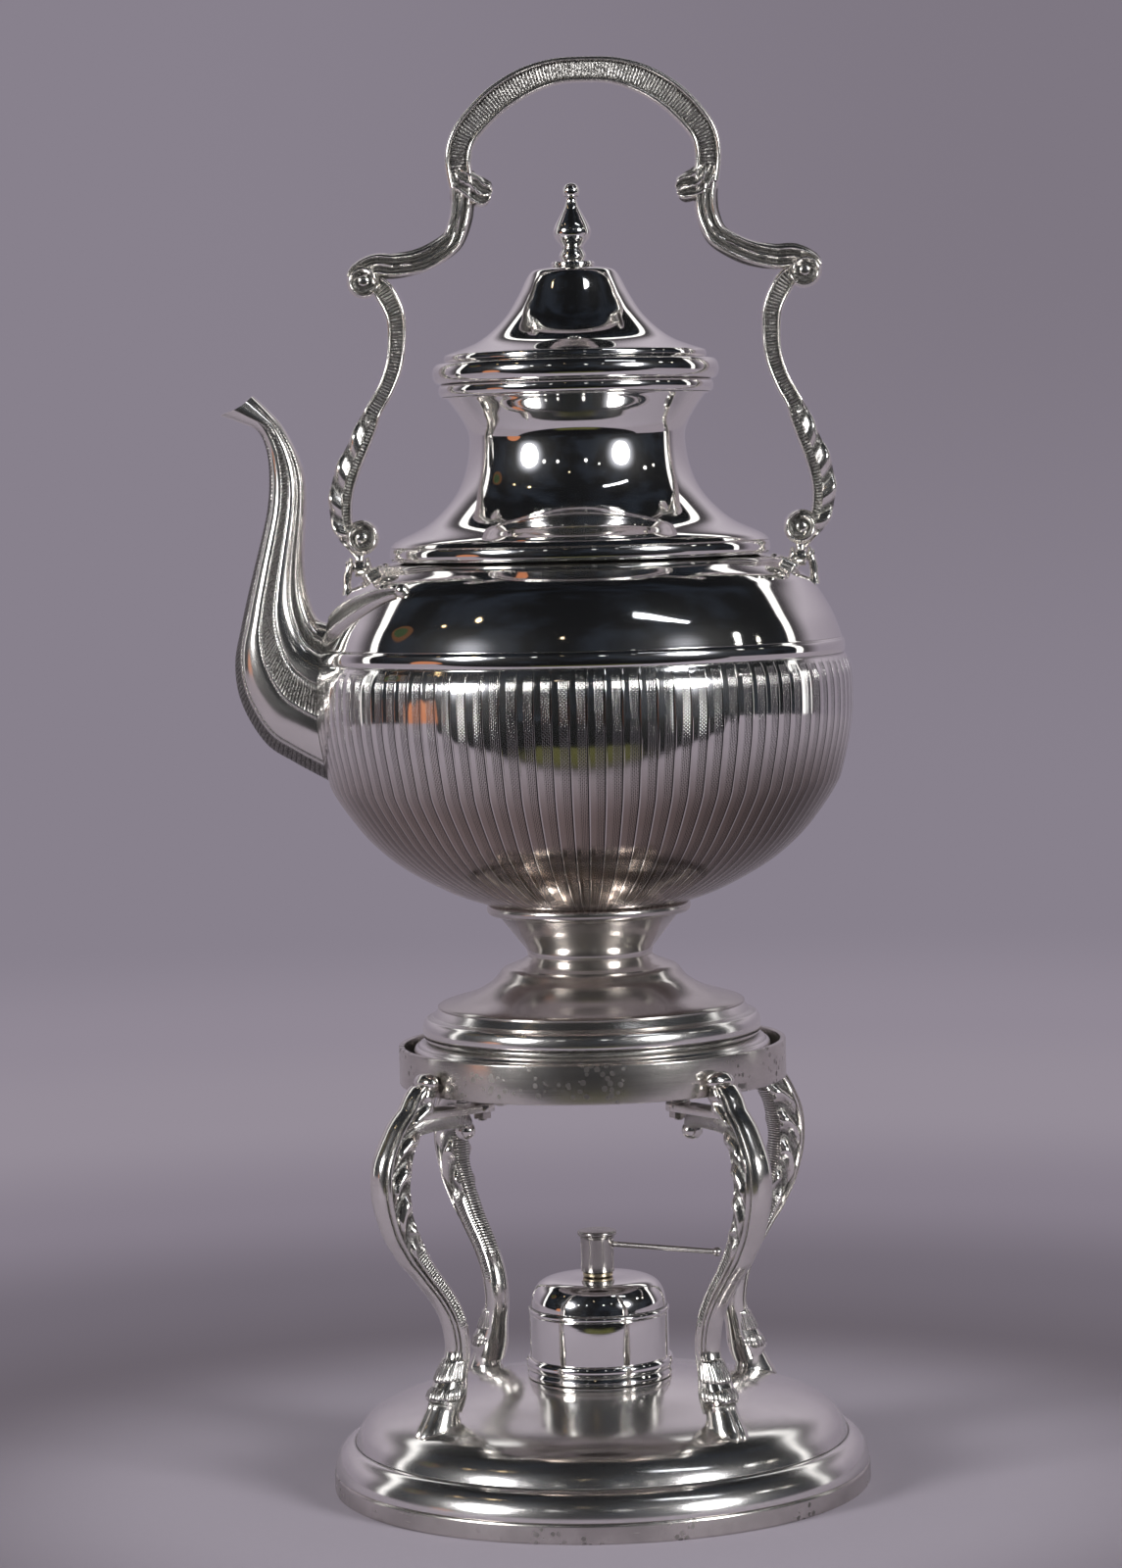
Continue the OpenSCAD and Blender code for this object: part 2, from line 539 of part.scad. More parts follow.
leaf_keys = smooth([[188.5, shoulder_r - 2, 4.6, 1.5], [196, shoulder_r - 3.6, 4.8, 1.8],
    [205, shoulder_r - 6.2, 3.6, 1.6], [213, shoulder_r - 8.6, 2.2, 1.4],
    [219.5, shoulder_r - 10, 1.2, 1.1]], 2);
module spout_leaf() color(silver) on_vessel_only() {
    loft(strip_rings(leaf_keys, 8));
    translate(on_shoulder(221, shoulder_r - 10.2, 1)) sphere(r = 2.1, $fn = 20);
}
module spout_leaf_front() spout_leaf();
module spout_leaf_back() mirror([0, 1, 0]) spout_leaf();

// Lugs: two ears on each side of the shoulder, with a pin through them, and two tendrils
hinge_z = neck_flange_z - 1.7;
ear_in = hinge_x - eye_t / 2 - ear_gap - ear_t;
ear_out = hinge_x + eye_t / 2 + ear_gap;
web_y = eye_r + 0.9;
web_w = 2;
web_top = hinge_z - 2.1;
tendril_keys = [[4.2, hinge_x - 1.8, 1.2], [9, hinge_x - 4, 1.4], [17, hinge_x - 6, 1.3],
    [28, hinge_x - 7.6, 1.1], [39, hinge_x - 8.6, 0.9], [48, hinge_x - 9, 0.6]];
tendril_path = smooth([for (q = tendril_keys) on_shoulder(q[0], q[1], 0.7 * q[2])], 2);
tendril_radii = [for (q = smooth([for (k = tendril_keys) [k[2], 0]], 2)) q[0]];
module ear(x) difference() {
    union() {
        translate([x, 0, hinge_z]) rotate([0, 90, 0]) cylinder(r = eye_r, h = ear_t, $fn = 48);
        translate([x, -eye_r, hinge_z - 12]) cube([ear_t, 2 * eye_r, 12]);
    }
    translate([x - 1, 0, hinge_z]) rotate([0, 90, 0]) cylinder(r = pin_r + 0.01, h = ear_t + 2, $fn = 48);
}
module lug() on_vessel_only() {
    ear(ear_in);
    ear(ear_out);
    for (s = [-1, 1]) {
        translate([ear_in, s * (web_y + web_w / 2) - web_w / 2, web_top - 9])
            cube([ear_out + ear_t - ear_in, web_w, 9]);
        translate([ear_in, s * (web_y + eye_r) / 2 - 1, web_top - 9]) cube([ear_t, 2, 9]);
        translate([ear_out, s * (web_y + eye_r) / 2 - 1, web_top - 9]) cube([ear_t, 2, 9]);
        mirror([0, s < 0 ? 1 : 0, 0]) loft(wire_rings(tendril_path, tendril_radii, 8));
    }
}
module lug_right() color(old_silver) lug();
module lug_left() color(old_silver) mirror([1, 0, 0]) lug();

pin_head = 0.8;
module hinge_pin() {
    translate([ear_in, 0, hinge_z]) rotate([0, 90, 0])
        cylinder(r = pin_r, h = ear_out + ear_t - ear_in, $fn = 48);
    translate([ear_out + ear_t, 0, hinge_z]) rotate([0, 90, 0])
        cylinder(r = 1.5 * pin_r, h = pin_head, $fn = 48);
}
module hinge_pin_right() color(old_silver) hinge_pin();
module hinge_pin_left() color(old_silver) mirror([1, 0, 0]) hinge_pin();

// Handle: keys are [offset from the hinge outwards, share of the handle's height, half width, half depth]
handle_d = handle_t / 2;
arm_shape = [[-0.2, 0.026, 1.9, 0.55], [1.6, 0.036, 2.0, 0.7], [4.6, 0.064, 2.6, 0.95], [6.6, 0.101, 3.2, 1],
    [6.5, 0.148, 3.5, 1], [4.1, 0.197, 3.5, 1], [-0.2, 0.251, 3.1, 0.95], [-4.2, 0.305, 3.0, 0.9],
    [-8.7, 0.351, 2.9, 0.85], [-11.8, 0.400, 3.0, 0.85], [-12.7, 0.453, 3.2, 0.85], [-12.1, 0.499, 3.4, 0.9],
    [-8.5, 0.542, 3.6, 0.95], [-5.5, 0.560, 3.2, 0.95]];
crook_shape = [[3.2, 0.574, 1.4, 0.9], [0.6, 0.585, 2.6, 0.9], [-6, 0.596, 3.4, 0.95],
    [-11.5, 0.595, 3.8, 1],
    [-19.7, 0.604, 3.9, 1], [-26.5, 0.621, 3.8, 1], [-31.9, 0.644, 3.7, 1], [-34.6, 0.682, 3.7, 1],
    [-35.3, 0.716, 3.8, 1], [-35.1, 0.744, 3.9, 1]];
grip_shape = [[-35.0, 0.750, 4.2, 1], [-33.7, 0.801, 4.5, 1], [-35.3, 0.843, 4.6, 1], [-40.3, 0.882, 4.8, 1],
    [-47.7, 0.921, 4.9, 1], [-56.9, 0.952, 4.8, 1], [-66.8, 0.970, 4.4, 1]];
function bow(s, f) = s > 0 ? right_bow * sqrt(max(sin(225 * f), 0)) : 0;
function side_keys(shape, s) = [for (q = shape)
    [s * (hinge_x + q[0] + bow(s, q[1])), hinge_z + handle_h * q[1], q[2], handle_d * q[3]]];
function lean(ring) = [for (p = ring) [p[0] + handle_lean * (p[2] - hinge_z), p[1], p[2]]];
grip_top = handle_h - 4.25;
grip_keys = smooth(concat(side_keys(grip_shape, -1),
    [[0, hinge_z + grip_top, 4.25, handle_d]], flip(side_keys(grip_shape, 1))), 2);

volute_top = [-1.1, 0.567, 4.6];
volute_foot = [-0.7, 0.059, 5.7];
lobe_at = [-42.5, 0.738, 3];
function handle_point(q, s) = let (x = s * (hinge_x + q[0] + bow(s, q[1])), z = hinge_z + handle_h * q[1])
    [x + handle_lean * (z - hinge_z), 0, z];
module button(q, s, depth) translate(handle_point(q, s)) rotate([90, 0, 0])
    cylinder(r = q[2], h = 2 * depth, center = true, $fn = 32);

module grip_end(s) hull() {
    button(lobe_at, s, 0.85 * handle_d);
    button([-36.5, 0.757, 4], s, 0.9 * handle_d);
}
split_z = hinge_z + handle_h * 0.744;
module handle_grip() color(satin_silver) {
    difference() {
        loft([for (ring = bar_rings(grip_keys, 12, 0.8)) lean(ring)]);
        translate([-100, -20, split_z - 60]) cube([200, 40, 60]);
    }
    for (s = [-1, 1]) grip_end(s);
}

module handle_arm(s) color(satin_silver) {
    difference() {
        union() {
            loft([for (ring = bar_rings(smooth(side_keys(arm_shape, s), 2), 10, 0.8)) lean(ring)]);
            loft([for (ring = bar_rings(smooth(side_keys(crook_shape, s), 2), 10, 0.8)) lean(ring)]);
            button(volute_top, s, handle_d);
            button(volute_foot, s, 0.9 * handle_d);
            translate([s * hinge_x, 0, hinge_z]) rotate([0, 90, 0])
                cylinder(r = eye_r, h = eye_t, center = true, $fn = 48);
            translate([s * hinge_x - eye_t / 2, -1.9, hinge_z]) cube([eye_t, 3.8, 0.036 * handle_h]);
        }
        translate([s * hinge_x, 0, hinge_z]) rotate([0, 90, 0])
            cylinder(r = pin_r + pin_gap, h = eye_t + 2, center = true, $fn = 48);
        translate([-100, -20, split_z]) cube([200, 40, 60]);
        grip_end(s);
    }
}
module handle_arm_left() handle_arm(-1);
module handle_arm_right() handle_arm(1);

// Lid: a bell with a collar below and a finial screwed through its crown
lid_points = [[0.985, 0.083], [0.60, 0.222], [0.31, 0.448], [0.142, 0.68], [0, 0.926]];
lid_curve = [for (q = lid_points) [lid_crown_r + (lid_r - lid_crown_r) * q[0], lid_z + lid_h * q[1]]];
lid_outline = concat(
    [[lid_r - 0.6, lid_z], [lid_r, lid_z + 0.9], [lid_r - 0.1, lid_z + 2]],
    smooth(concat(lid_curve, [[lid_crown_r - 3.4, washer_z - 0.6], [washer_r - 1.2, washer_z]])),
    [[finial_screw_r + screw_gap, washer_z]]);
bezel_r = rim_hole_r - bezel_gap;
module lid_shell() color(silver) turn(concat(lid_outline,
    [[finial_screw_r + screw_gap, washer_z - lid_wall], [washer_r - 1.2, washer_z - lid_wall]],
    flip(inner(smooth(lid_curve), lid_wall)),
    [[bezel_r - 1.2, lid_z + lid_wall], [bezel_r - 1.2, lid_z]]));
module lid_bezel() color(silver) ring_of(bezel_r, bezel_r - 1.2, lid_z - bezel_h, bezel_h);

finial_z = washer_z + washer_t;
module finial_washer() color(silver) difference() {
    turn(concat([[0, washer_z]], bead(washer_r - 0.7, washer_z, finial_z, 0.7), [[0, finial_z]]));
    translate([0, 0, washer_z - 1]) cylinder(r = finial_screw_r + screw_gap, h = washer_t + 2, $fn = 24);
}
finial_outline = concat(
    smooth([[3.6, 0], [4.8, 0.06], [4.4, 0.11], [3.6, 0.165], [4.2, 0.215], [5.8, 0.289], [6.6, 0.363],
        [6.1, 0.45], [4.2, 0.58], [2.6, 0.69], [1.9, 0.777], [2.2, 0.83]], 2),
    [for (a = [-38 : 16 : 90]) [3 * cos(a), 0.892 + 0.108 * sin(a)]]);
module finial() color(silver) {
    turn(concat([[0, finial_z]], [for (q = finial_outline) [max(q[0], 0), finial_z + finial_h * q[1]]],
        [[0, finial_z + finial_h]]));
    translate([0, 0, washer_z - lid_wall - 4])
        cylinder(r = finial_screw_r, h = washer_t + lid_wall + 4.1, $fn = 24);
}
module finial_nut() color(brass_colour) translate([0, 0, washer_z - lid_wall - 2.6]) difference() {
    cylinder(r = 3.6, h = 2.6, $fn = 6);
    translate([0, 0, -1]) cylinder(r = finial_screw_r + 0.02, h = 5, $fn = 24);
}

// Burner: a font on a moulded foot, with a domed top, a wick tube and a snuffer
burner_z = seat_z + rest_gap;
font_floor = burner_z + 3;
font_top = burner_z + burner_foot_h + font_h - 4;
module burner_foot() color(silver) turn(concat(
    [[burner_foot_in, burner_z], [font_r + 0.9, burner_z], [font_r + 1.2, burner_z + 1.4],
     [font_r + 0.7, burner_z + 2.6]],
    bead(font_r + 0.5, burner_z + 3, burner_z + burner_foot_h, 0.9),
    [[font_r, burner_z + burner_foot_h], [font_r, font_floor], [burner_foot_in, font_floor]]));
module burner_font() color(silver) turn([[0, font_floor], [font_r, font_floor], [font_r, font_top],
    [font_r - burner_wall, font_top], [font_r - burner_wall, font_floor + burner_wall],
    [0, font_floor + burner_wall]]);
top_z = font_top + burner_top_h;
top_curve = [[font_r - 0.7, font_top + 2.2], [font_r - 1.3, font_top + 0.5 * burner_top_h],
    [font_r - 3.3, font_top + 0.8 * burner_top_h], [font_r - 7, top_z - 0.5]];
module burner_top() color(silver) turn(concat(
    bead(font_r - 0.3, font_top, font_top + 2, 0.6), smooth(concat(top_curve, [[font_r - 12, top_z]])),
    [[wick_tube_r + screw_gap, top_z], [wick_tube_r + screw_gap, top_z - burner_wall],
     [font_r - 12, top_z - burner_wall]],
    flip(inner(smooth(top_curve), burner_wall)), [[font_r - 1.6, font_top]]));

holder_z = top_z + rest_gap;
tube_top = holder_z + 8.6;
module wick_holder() color(brass_colour) difference() {
    union() {
        translate([0, 0, holder_z - 16]) cylinder(r = wick_tube_r, h = tube_top - holder_z + 16, $fn = 48);
        translate([0, 0, holder_z]) cylinder(r = wick_tube_r + 1.3, h = 1.2, $fn = 48);
    }
    translate([0, 0, holder_z - 17]) cylinder(r = wick_r + 0.1, h = 40, $fn = 48);
}
module wick() color(wick_colour) translate([0, 0, font_floor + 4])
    cylinder(r = wick_r, h = tube_top + 2 - font_floor - 4, $fn = 32);

cap_z = holder_z + 1.2 + rest_gap;
cap_top = cap_z + snuffer_h;
cap_in = snuffer_r - 1;
module snuffer_cap() color(satin_silver) turn(concat(
    [[cap_in, cap_z], [snuffer_r, cap_z], [snuffer_r, cap_top - 3.2], [snuffer_r + 0.3, cap_top - 2.6]],
    bead(snuffer_r + 0.4, cap_top - 2.2, cap_top - 0.4, 0.7),
    [[snuffer_r - 1, cap_top - 0.1], [0, cap_top - 0.9], [0, cap_top - 3.2], [cap_in, cap_top - 3.2]]));
rod_z = cap_top - 5;
rod_drop = 2;
module snuffer_rod() color(satin_silver) difference() {
    rotate([0, 0, rod_turn]) {
        translate([0, 0, rod_z]) rotate([0, 90 + rod_drop, 0]) translate([0, 0, snuffer_r - 0.4])
            cylinder(r = rod_r, h = rod_l - snuffer_r, $fn = 24);
        translate([rod_l - 0.4, 0, rod_z - rod_l * sin(rod_drop)]) sphere(r = 1.7 * rod_r, $fn = 24);
    }
    translate([0, 0, rod_z - 10]) cylinder(r = snuffer_r, h = 20, $fn = turn_fn);
}

base_band();
base_plate();
base_dish();
burner_seat();
leg_front_left();
leg_front_right();
leg_back_left();
leg_back_right();
hoof_screws();
stand_ring();
ring_screws();
ring_nuts();
foot_rim();
foot_dome();
foot_collar();
kettle_bowl();
body_band();
kettle_shoulder();
neck_flange();
neck();
neck_rim();
spout();
spout_leaf_front();
spout_leaf_back();
lug_left();
lug_right();
hinge_pin_left();
hinge_pin_right();
lid_shell();
lid_bezel();
finial_washer();
finial();
finial_nut();
handle_grip();
handle_arm_left();
handle_arm_right();
burner_foot();
burner_font();
burner_top();
wick_holder();
wick();
snuffer_cap();
snuffer_rod();
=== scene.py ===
"""Looks of a spirit kettle on its four-legged stand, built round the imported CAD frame.

Sizes are in millimetres, as in the CAD, and become metres when a mesh is made. The origin is
the centre of the base's underside, +Z is up, and the spout points to -X.
"""

from __future__ import annotations

import logging
import math
from dataclasses import dataclass
from enum import Enum
from typing import Callable, Sequence

import bpy
import numpy as np
from mathutils import Matrix
from numpy.typing import NDArray

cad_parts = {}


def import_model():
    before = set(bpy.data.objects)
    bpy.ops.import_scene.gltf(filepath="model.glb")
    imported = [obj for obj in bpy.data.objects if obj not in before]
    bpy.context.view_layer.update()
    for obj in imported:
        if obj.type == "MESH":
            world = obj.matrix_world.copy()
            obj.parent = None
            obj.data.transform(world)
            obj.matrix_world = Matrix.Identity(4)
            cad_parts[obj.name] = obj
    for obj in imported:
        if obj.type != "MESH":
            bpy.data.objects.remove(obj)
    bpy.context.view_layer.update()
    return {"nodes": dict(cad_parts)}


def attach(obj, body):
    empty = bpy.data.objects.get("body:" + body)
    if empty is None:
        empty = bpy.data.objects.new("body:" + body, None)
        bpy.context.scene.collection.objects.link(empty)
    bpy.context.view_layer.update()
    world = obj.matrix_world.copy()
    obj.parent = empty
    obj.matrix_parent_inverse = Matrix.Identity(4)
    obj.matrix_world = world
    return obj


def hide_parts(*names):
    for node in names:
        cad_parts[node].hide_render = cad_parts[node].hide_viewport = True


LOG = logging.getLogger("scene")
MM = 0.001
# Length under which a vector counts as none, and radius under which a point is on the axis
NO_LENGTH = 1e-12
ON_AXIS = 1e-6

Array = NDArray[np.float64]
Socket = bpy.types.NodeSocket
Obj = bpy.types.Object
Material = bpy.types.Material


# Curves and outlines


def smooth(points: Sequence[Sequence[float]] | Array, steps: int = 8) -> Array:
    """Curve through every point, whose slope at each is half the step between its neighbours.

    Args:
        points: The points to pass through, one row each.
        steps: Number of samples between two points.

    Returns:
        The samples, ending with the last point.
    """
    p = np.asarray(points, dtype=float)
    q = np.vstack([p[:1], p, p[-1:]])
    a, b, c, d = (v[:, None, :] for v in (q[:-3], q[1:-2], q[2:-1], q[3:]))
    t = (np.arange(steps) / steps)[None, :, None]
    curve = 2 * b + (c - a) * t + (2 * a - 5 * b + 4 * c - d) * t**2
    curve = 0.5 * (curve + (3 * b - a - 3 * c + d) * t**3)
    return np.vstack([curve.reshape(-1, p.shape[1]), p[-1:]])


def unit(v: Array) -> Array:
    """Rows of v at length one."""
    return v / np.maximum(np.linalg.norm(v, axis=-1, keepdims=True), NO_LENGTH)


def directions(p: Array) -> Array:
    """Direction of a row of points at each point, from the one before to the one after."""
    return unit(np.vstack([p[1:], p[-1:]]) - np.vstack([p[:1], p[:-1]]))


def inner(
    p: Array, t: float, start: tuple[float, float] = (1, 0), end: tuple[float, float] = (1, 0)
) -> Array:
    """Inner side of a wall.

    Args:
        p: Outline of the outer side, radius and height.
        t: Thickness of the wall.
        start: Direction in which the first point is moved.
        end: Direction in which the last point is moved.

    Returns:
        The outline moved inwards by t along its normal.
    """
    v = directions(p)
    n = np.stack([v[:, 1], -v[:, 0]], axis=1)
    n[0], n[-1] = start, end
    return p - t * n


def bead(r: float, low: float, high: float, swell: float, steps: int = 16) -> Array:
    """Half round of an outline: radius r plus swell times the cosine of the height angle.

    Args:
        r: Radius at its two ends.
        low: Height of its lower end.
        high: Height of its upper end.
        swell: How far its middle stands out.
        steps: Number of its parts.

    Returns:
        The outline from the lower to the upper end.
    """
    a = np.linspace(-np.pi / 2, np.pi / 2, steps + 1)
    middle, half = (low + high) / 2, (high - low) / 2
    return np.stack([r + swell * np.cos(a), middle + half * np.sin(a)], axis=1)


def eased(profile: Array, radius: float, closed: bool, steps: int = 4) -> Array:
    """Rounds the corners of an outline that turn by more than 20 degrees.

    Each such corner C becomes the curve (1-s)^2 A + 2 s (1-s) C + s^2 B between points A and B
    on its two sides.

    Args:
        profile: The outline.
        radius: Distance of A and B from the corner, at most.
        closed: True if the last point joins the first.
        steps: Number of parts of each rounding.

    Returns:
        The outline with rounded corners.
    """
    before, after = np.roll(profile, 1, axis=0), np.roll(profile, -1, axis=0)
    to_a, to_b = before - profile, after - profile
    len_a, len_b = np.linalg.norm(to_a, axis=1), np.linalg.norm(to_b, axis=1)
    cosine = np.sum(unit(to_a) * unit(to_b), axis=1)
    corner = cosine > -math.cos(math.radians(20))
    corner &= profile[:, 0] > ON_AXIS
    if not closed:
        corner[[0, -1]] = False
    reach = np.minimum(np.minimum(len_a, len_b) * 0.45, radius)[:, None, None]
    a = profile[:, None, :] + reach * unit(to_a)[:, None, :]
    b = profile[:, None, :] + reach * unit(to_b)[:, None, :]
    s = np.linspace(0, 1, steps + 1)[None, :, None]
    arc = (1 - s) ** 2 * a + 2 * s * (1 - s) * profile[:, None, :] + s**2 * b
    arc[~corner] = profile[~corner][:, None, :]
    keep = np.zeros(arc.shape[:2], dtype=bool)
    keep[:, 0] = True
    keep[corner] = True
    return arc[keep]


def window(x: Array, low: float, high: float, soft: float) -> Array:
    """One between low and high, and zero outside, with smooth flanks as wide as soft.

    Args:
        x: The places.
        low: Lower end of the window.
        high: Upper end of the window.
        soft: Width of each flank.

    Returns:
        A number from 0 to 1 for each place.
    """
    up = np.clip((x - low) / soft + 0.5, 0, 1)
    down = np.clip((high - x) / soft + 0.5, 0, 1)
    rise, fall = up * up * (3 - 2 * up), down * down * (3 - 2 * down)
    return rise * fall


# Meshes


@dataclass(frozen=True)
class Skin:
    """Points of a surface in millimetres, its faces, and numbers kept at its points."""

    points: Array
    quads: NDArray[np.int64]
    triangles: NDArray[np.int64]
    values: dict[str, Array]

    def volume(self) -> float:
        """Volume inside the faces: the sum of the triple products of their corners, over six.

        Returns:
            The volume in cubic millimetres, under zero if the faces point inwards.
        """
        p = self.points
        q, t = self.quads, self.triangles
        parts = [t, q[:, [0, 1, 2]], q[:, [0, 2, 3]]]
        tri = np.vstack([part for part in parts if len(part)])
        return float(np.sum(p[tri[:, 0]] * np.cross(p[tri[:, 1]], p[tri[:, 2]])) / 6)


def make_object(name: str, skins: Sequence[Skin], sharp: float = 35) -> Obj:
    """Makes one object of closed skins, with faces outwards and smooth shading.

    Args:
        name: Name of the object.
        skins: The closed skins.
        sharp: Angle in degrees above which an edge stays sharp.

    Returns:
        The object, linked to the scene.
    """
    points, starts, loops, offset, total = [], [], [], 0, 0
    for skin in skins:
        order = -1 if skin.volume() < 0 else 1
        for faces in (skin.quads, skin.triangles):
            if len(faces):
                rows = faces[:, ::order] + offset
                loops.append(rows.ravel())
                starts.append(total + np.arange(len(rows)) * rows.shape[1])
                total += rows.size
        points.append(skin.points * MM)
        offset += len(skin.points)
    mesh = bpy.data.meshes.new(name)
    co, loop, start = np.vstack(points), np.concatenate(loops), np.concatenate(starts)
    mesh.vertices.add(len(co))
    mesh.vertices.foreach_set("co", co.ravel().astype(np.float32))
    mesh.loops.add(len(loop))
    mesh.loops.foreach_set("vertex_index", loop.astype(np.int32))
    mesh.polygons.add(len(start))
    mesh.polygons.foreach_set("loop_start", start.astype(np.int32))
    mesh.update(calc_edges=True)
    mesh.validate()
    for key in sorted({key for skin in skins for key in skin.values}):
        layer = mesh.attributes.new(key, "FLOAT", "POINT")
        rows = [skin.values.get(key, np.zeros(len(skin.points))) for skin in skins]
        layer.data.foreach_set("value", np.concatenate(rows).astype(np.float32))
    mesh.shade_smooth()
    mesh.set_sharp_from_angle(angle=math.radians(sharp))
    obj = bpy.data.objects.new(name, mesh)
    bpy.context.collection.objects.link(obj)
    return obj


def grid_quads(rows: int, columns: int, wrap_rows: bool) -> NDArray[np.int64]:
    """Quads between the points of a grid whose columns close on themselves.

    Args:
        rows: Number of rows of points.
        columns: Number of points in a row.
        wrap_rows: True if the last row joins the first.

    Returns:
        One quad a row.
    """
    i, j = np.meshgrid(np.arange(rows if wrap_rows else rows - 1), np.arange(columns), indexing="ij")
    up, side = (i + 1) % rows, (j + 1) % columns
    quads = np.stack([i * columns + j, i * columns + side, up * columns + side, up * columns + j], -1)
    return quads.reshape(-1, 4)


def fan(tip: int, ring: NDArray[np.int64], flip: bool) -> NDArray[np.int64]:
    """Triangles from one point to a closed ring of points.

    Args:
        tip: Number of the point.
        ring: Numbers of the ring's points.
        flip: True to turn the faces round.

    Returns:
        One triangle a row.
    """
    other = np.roll(ring, -1)
    pair = (other, ring) if flip else (ring, other)
    return np.stack([np.full(len(ring), tip), *pair], axis=1)


def tube(rings: Array, closed: bool = False, **values: Array) -> Skin:
    """Skin over rings of points, with a point in the middle of each end unless it is closed.

    Args:
        rings: Points, shaped rings by points in a ring by three.
        closed: True if the last ring joins the first.
        **values: Numbers for the points, shaped rings by points in a ring.

    Returns:
        The skin.
    """
    m, n, _ = rings.shape
    points = rings.reshape(-1, 3)
    flat = {key: np.broadcast_to(v, (m, n)).ravel().astype(float) for key, v in values.items()}
    if closed:
        return Skin(points, grid_quads(m, n, True), np.zeros((0, 3), int), flat)
    points = np.vstack([points, rings[0].mean(0), rings[-1].mean(0)])
    flat = {key: np.append(v, [v[:n].mean(), v[-n:].mean()]) for key, v in flat.items()}
    ends = [fan(m * n, np.arange(n), True), fan(m * n + 1, np.arange(n) + (m - 1) * n, False)]
    return Skin(points, grid_quads(m, n, False), np.vstack(ends), flat)


def grooves(p: Array) -> Array:
    """Darkness of an outline's inner corners, where it turns against its own sense of going round.

    The sine of the turn at each point, from 0.12 to 0.3, becomes 0 to 1. A neighbour that is
    less than 0.9 mm away takes 0.8 of it.

    Args:
        p: The outline, radius and height.

    Returns:
        One number from 0 to 1 for each point.
    """
    ahead = np.roll(p, -1, axis=0) - p
    back = np.roll(ahead, 1, axis=0)
    area = np.sum(p[:, 0] * np.roll(p[:, 1], -1) - np.roll(p[:, 0], -1) * p[:, 1])
    length = np.linalg.norm(ahead, axis=1)
    size = np.maximum(length * np.roll(length, 1), 1e-9)
    sine = (back[:, 0] * ahead[:, 1] - back[:, 1] * ahead[:, 0]) / size
    dark = np.clip((-np.sign(area) * sine - 0.12) / 0.18, 0, 1)
    near = length < 0.9
    spread = np.maximum(np.roll(dark, -1) * near, np.roll(dark * near, 1))
    return np.maximum(dark, 0.8 * spread)


def lathe(
    profile: Array,
    segments: int = 256,
    radius: float = 0.4,
    relief: Callable[[Array, Array, Array], Array] | None = None,
    **values: Array,
) -> Skin:
    """Surface of revolution about the Z axis.

    Args:
        profile: Outline, radius and height. It runs from pole to pole, or closes on itself.
        segments: Number of points round the axis.
        radius: How far its corners are rounded.
        relief: Outward offset in millimetres from radius, height and angle, if any.
        **values: Numbers for the rows of the profile. Without "cut", grooves() gives it.

    Returns:
        The skin.
    """
    poles = profile[0, 0] < ON_AXIS and profile[-1, 0] < ON_AXIS
    p = eased(profile, radius, not poles) if radius else profile
    a = np.linspace(0, 2 * np.pi, segments, endpoint=False)[None, :]
    values.setdefault("cut", grooves(p)[1:-1] if poles else grooves(p))
    core = p[1:-1] if poles else p
    r, z = core[:, :1], np.broadcast_to(core[:, 1:], (len(core), segments))
    far = np.broadcast_to(r, z.shape)
    if relief is not None:
        far = far + relief(far, z, np.broadcast_to(a, z.shape))
    rings = np.stack([far * np.cos(a), far * np.sin(a), z], axis=-1)
    rows = {key: np.broadcast_to(v[:, None], z.shape) for key, v in values.items()}
    skin = tube(rings, closed=not poles, **rows)
    if poles:
        skin.points[-2:] = [[0, 0, p[0, 1]], [0, 0, p[-1, 1]]]
    return skin


def ball(centre: Sequence[float], half: Sequence[float], rows: int = 24, columns: int = 32) -> Skin:
    """Ellipsoid: its half sizes times the cosines and sines of latitude and longitude.

    Args:
        centre: Its middle.
        half: Its half sizes along X, Y and Z.
        rows: Number of rings of points.
        columns: Number of points in a ring.

    Returns:
        The skin.
    """
    lat = np.linspace(-np.pi / 2, np.pi / 2, rows + 2)[1:-1, None]
    lon = np.linspace(0, 2 * np.pi, columns, endpoint=False)[None, :]
    x, y = half[0] * np.cos(lat) * np.cos(lon), half[1] * np.cos(lat) * np.sin(lon)
    z = half[2] * np.sin(lat) + 0 * lon
    skin = tube(np.stack([x, y, z], -1) + np.asarray(centre, float))
    pole = np.array([0, 0, half[2]])
    skin.points[-2:] = [np.asarray(centre) - pole, np.asarray(centre) + pole]
    return skin


def turned(points: Array, degrees: float) -> Array:
    """Points turned about the Z axis."""
    c, s = math.cos(math.radians(degrees)), math.sin(math.radians(degrees))
    return points @ np.array([[c, s, 0], [-s, c, 0], [0, 0, 1]])


def mirrored(skin: Skin, axis: int) -> Skin:
    """The skin mirrored in the plane through the origin that is square to axis 0, 1 or 2."""
    signs = np.where(np.arange(3) == axis, -1, 1)
    return Skin(skin.points * signs, skin.quads, skin.triangles, skin.values)


def spun(skin: Skin, degrees: float) -> Skin:
    """The skin turned about the Z axis."""
    return Skin(turned(skin.points, degrees), skin.quads, skin.triangles, skin.values)


def marked(skin: Skin, values: dict[str, float]) -> Skin:
    """The skin with the same number kept at each of its points, for each name given."""
    extra = {key: np.full(len(skin.points), v) for key, v in values.items()}
    return Skin(skin.points, skin.quads, skin.triangles, {**skin.values, **extra})


# Places across the face of a cast bar, from -1 to 1, and that of the bar's edge
FACE = np.array([0, 0.12, 0.24, 0.34, 0.44, 0.52, 0.6, 0.66, 0.72, 0.78, 0.84, 0.9, 0.95, 0.985, 1])
ACROSS = np.concatenate([-FACE[:0:-1], FACE])
EDGE_AT = 1.06


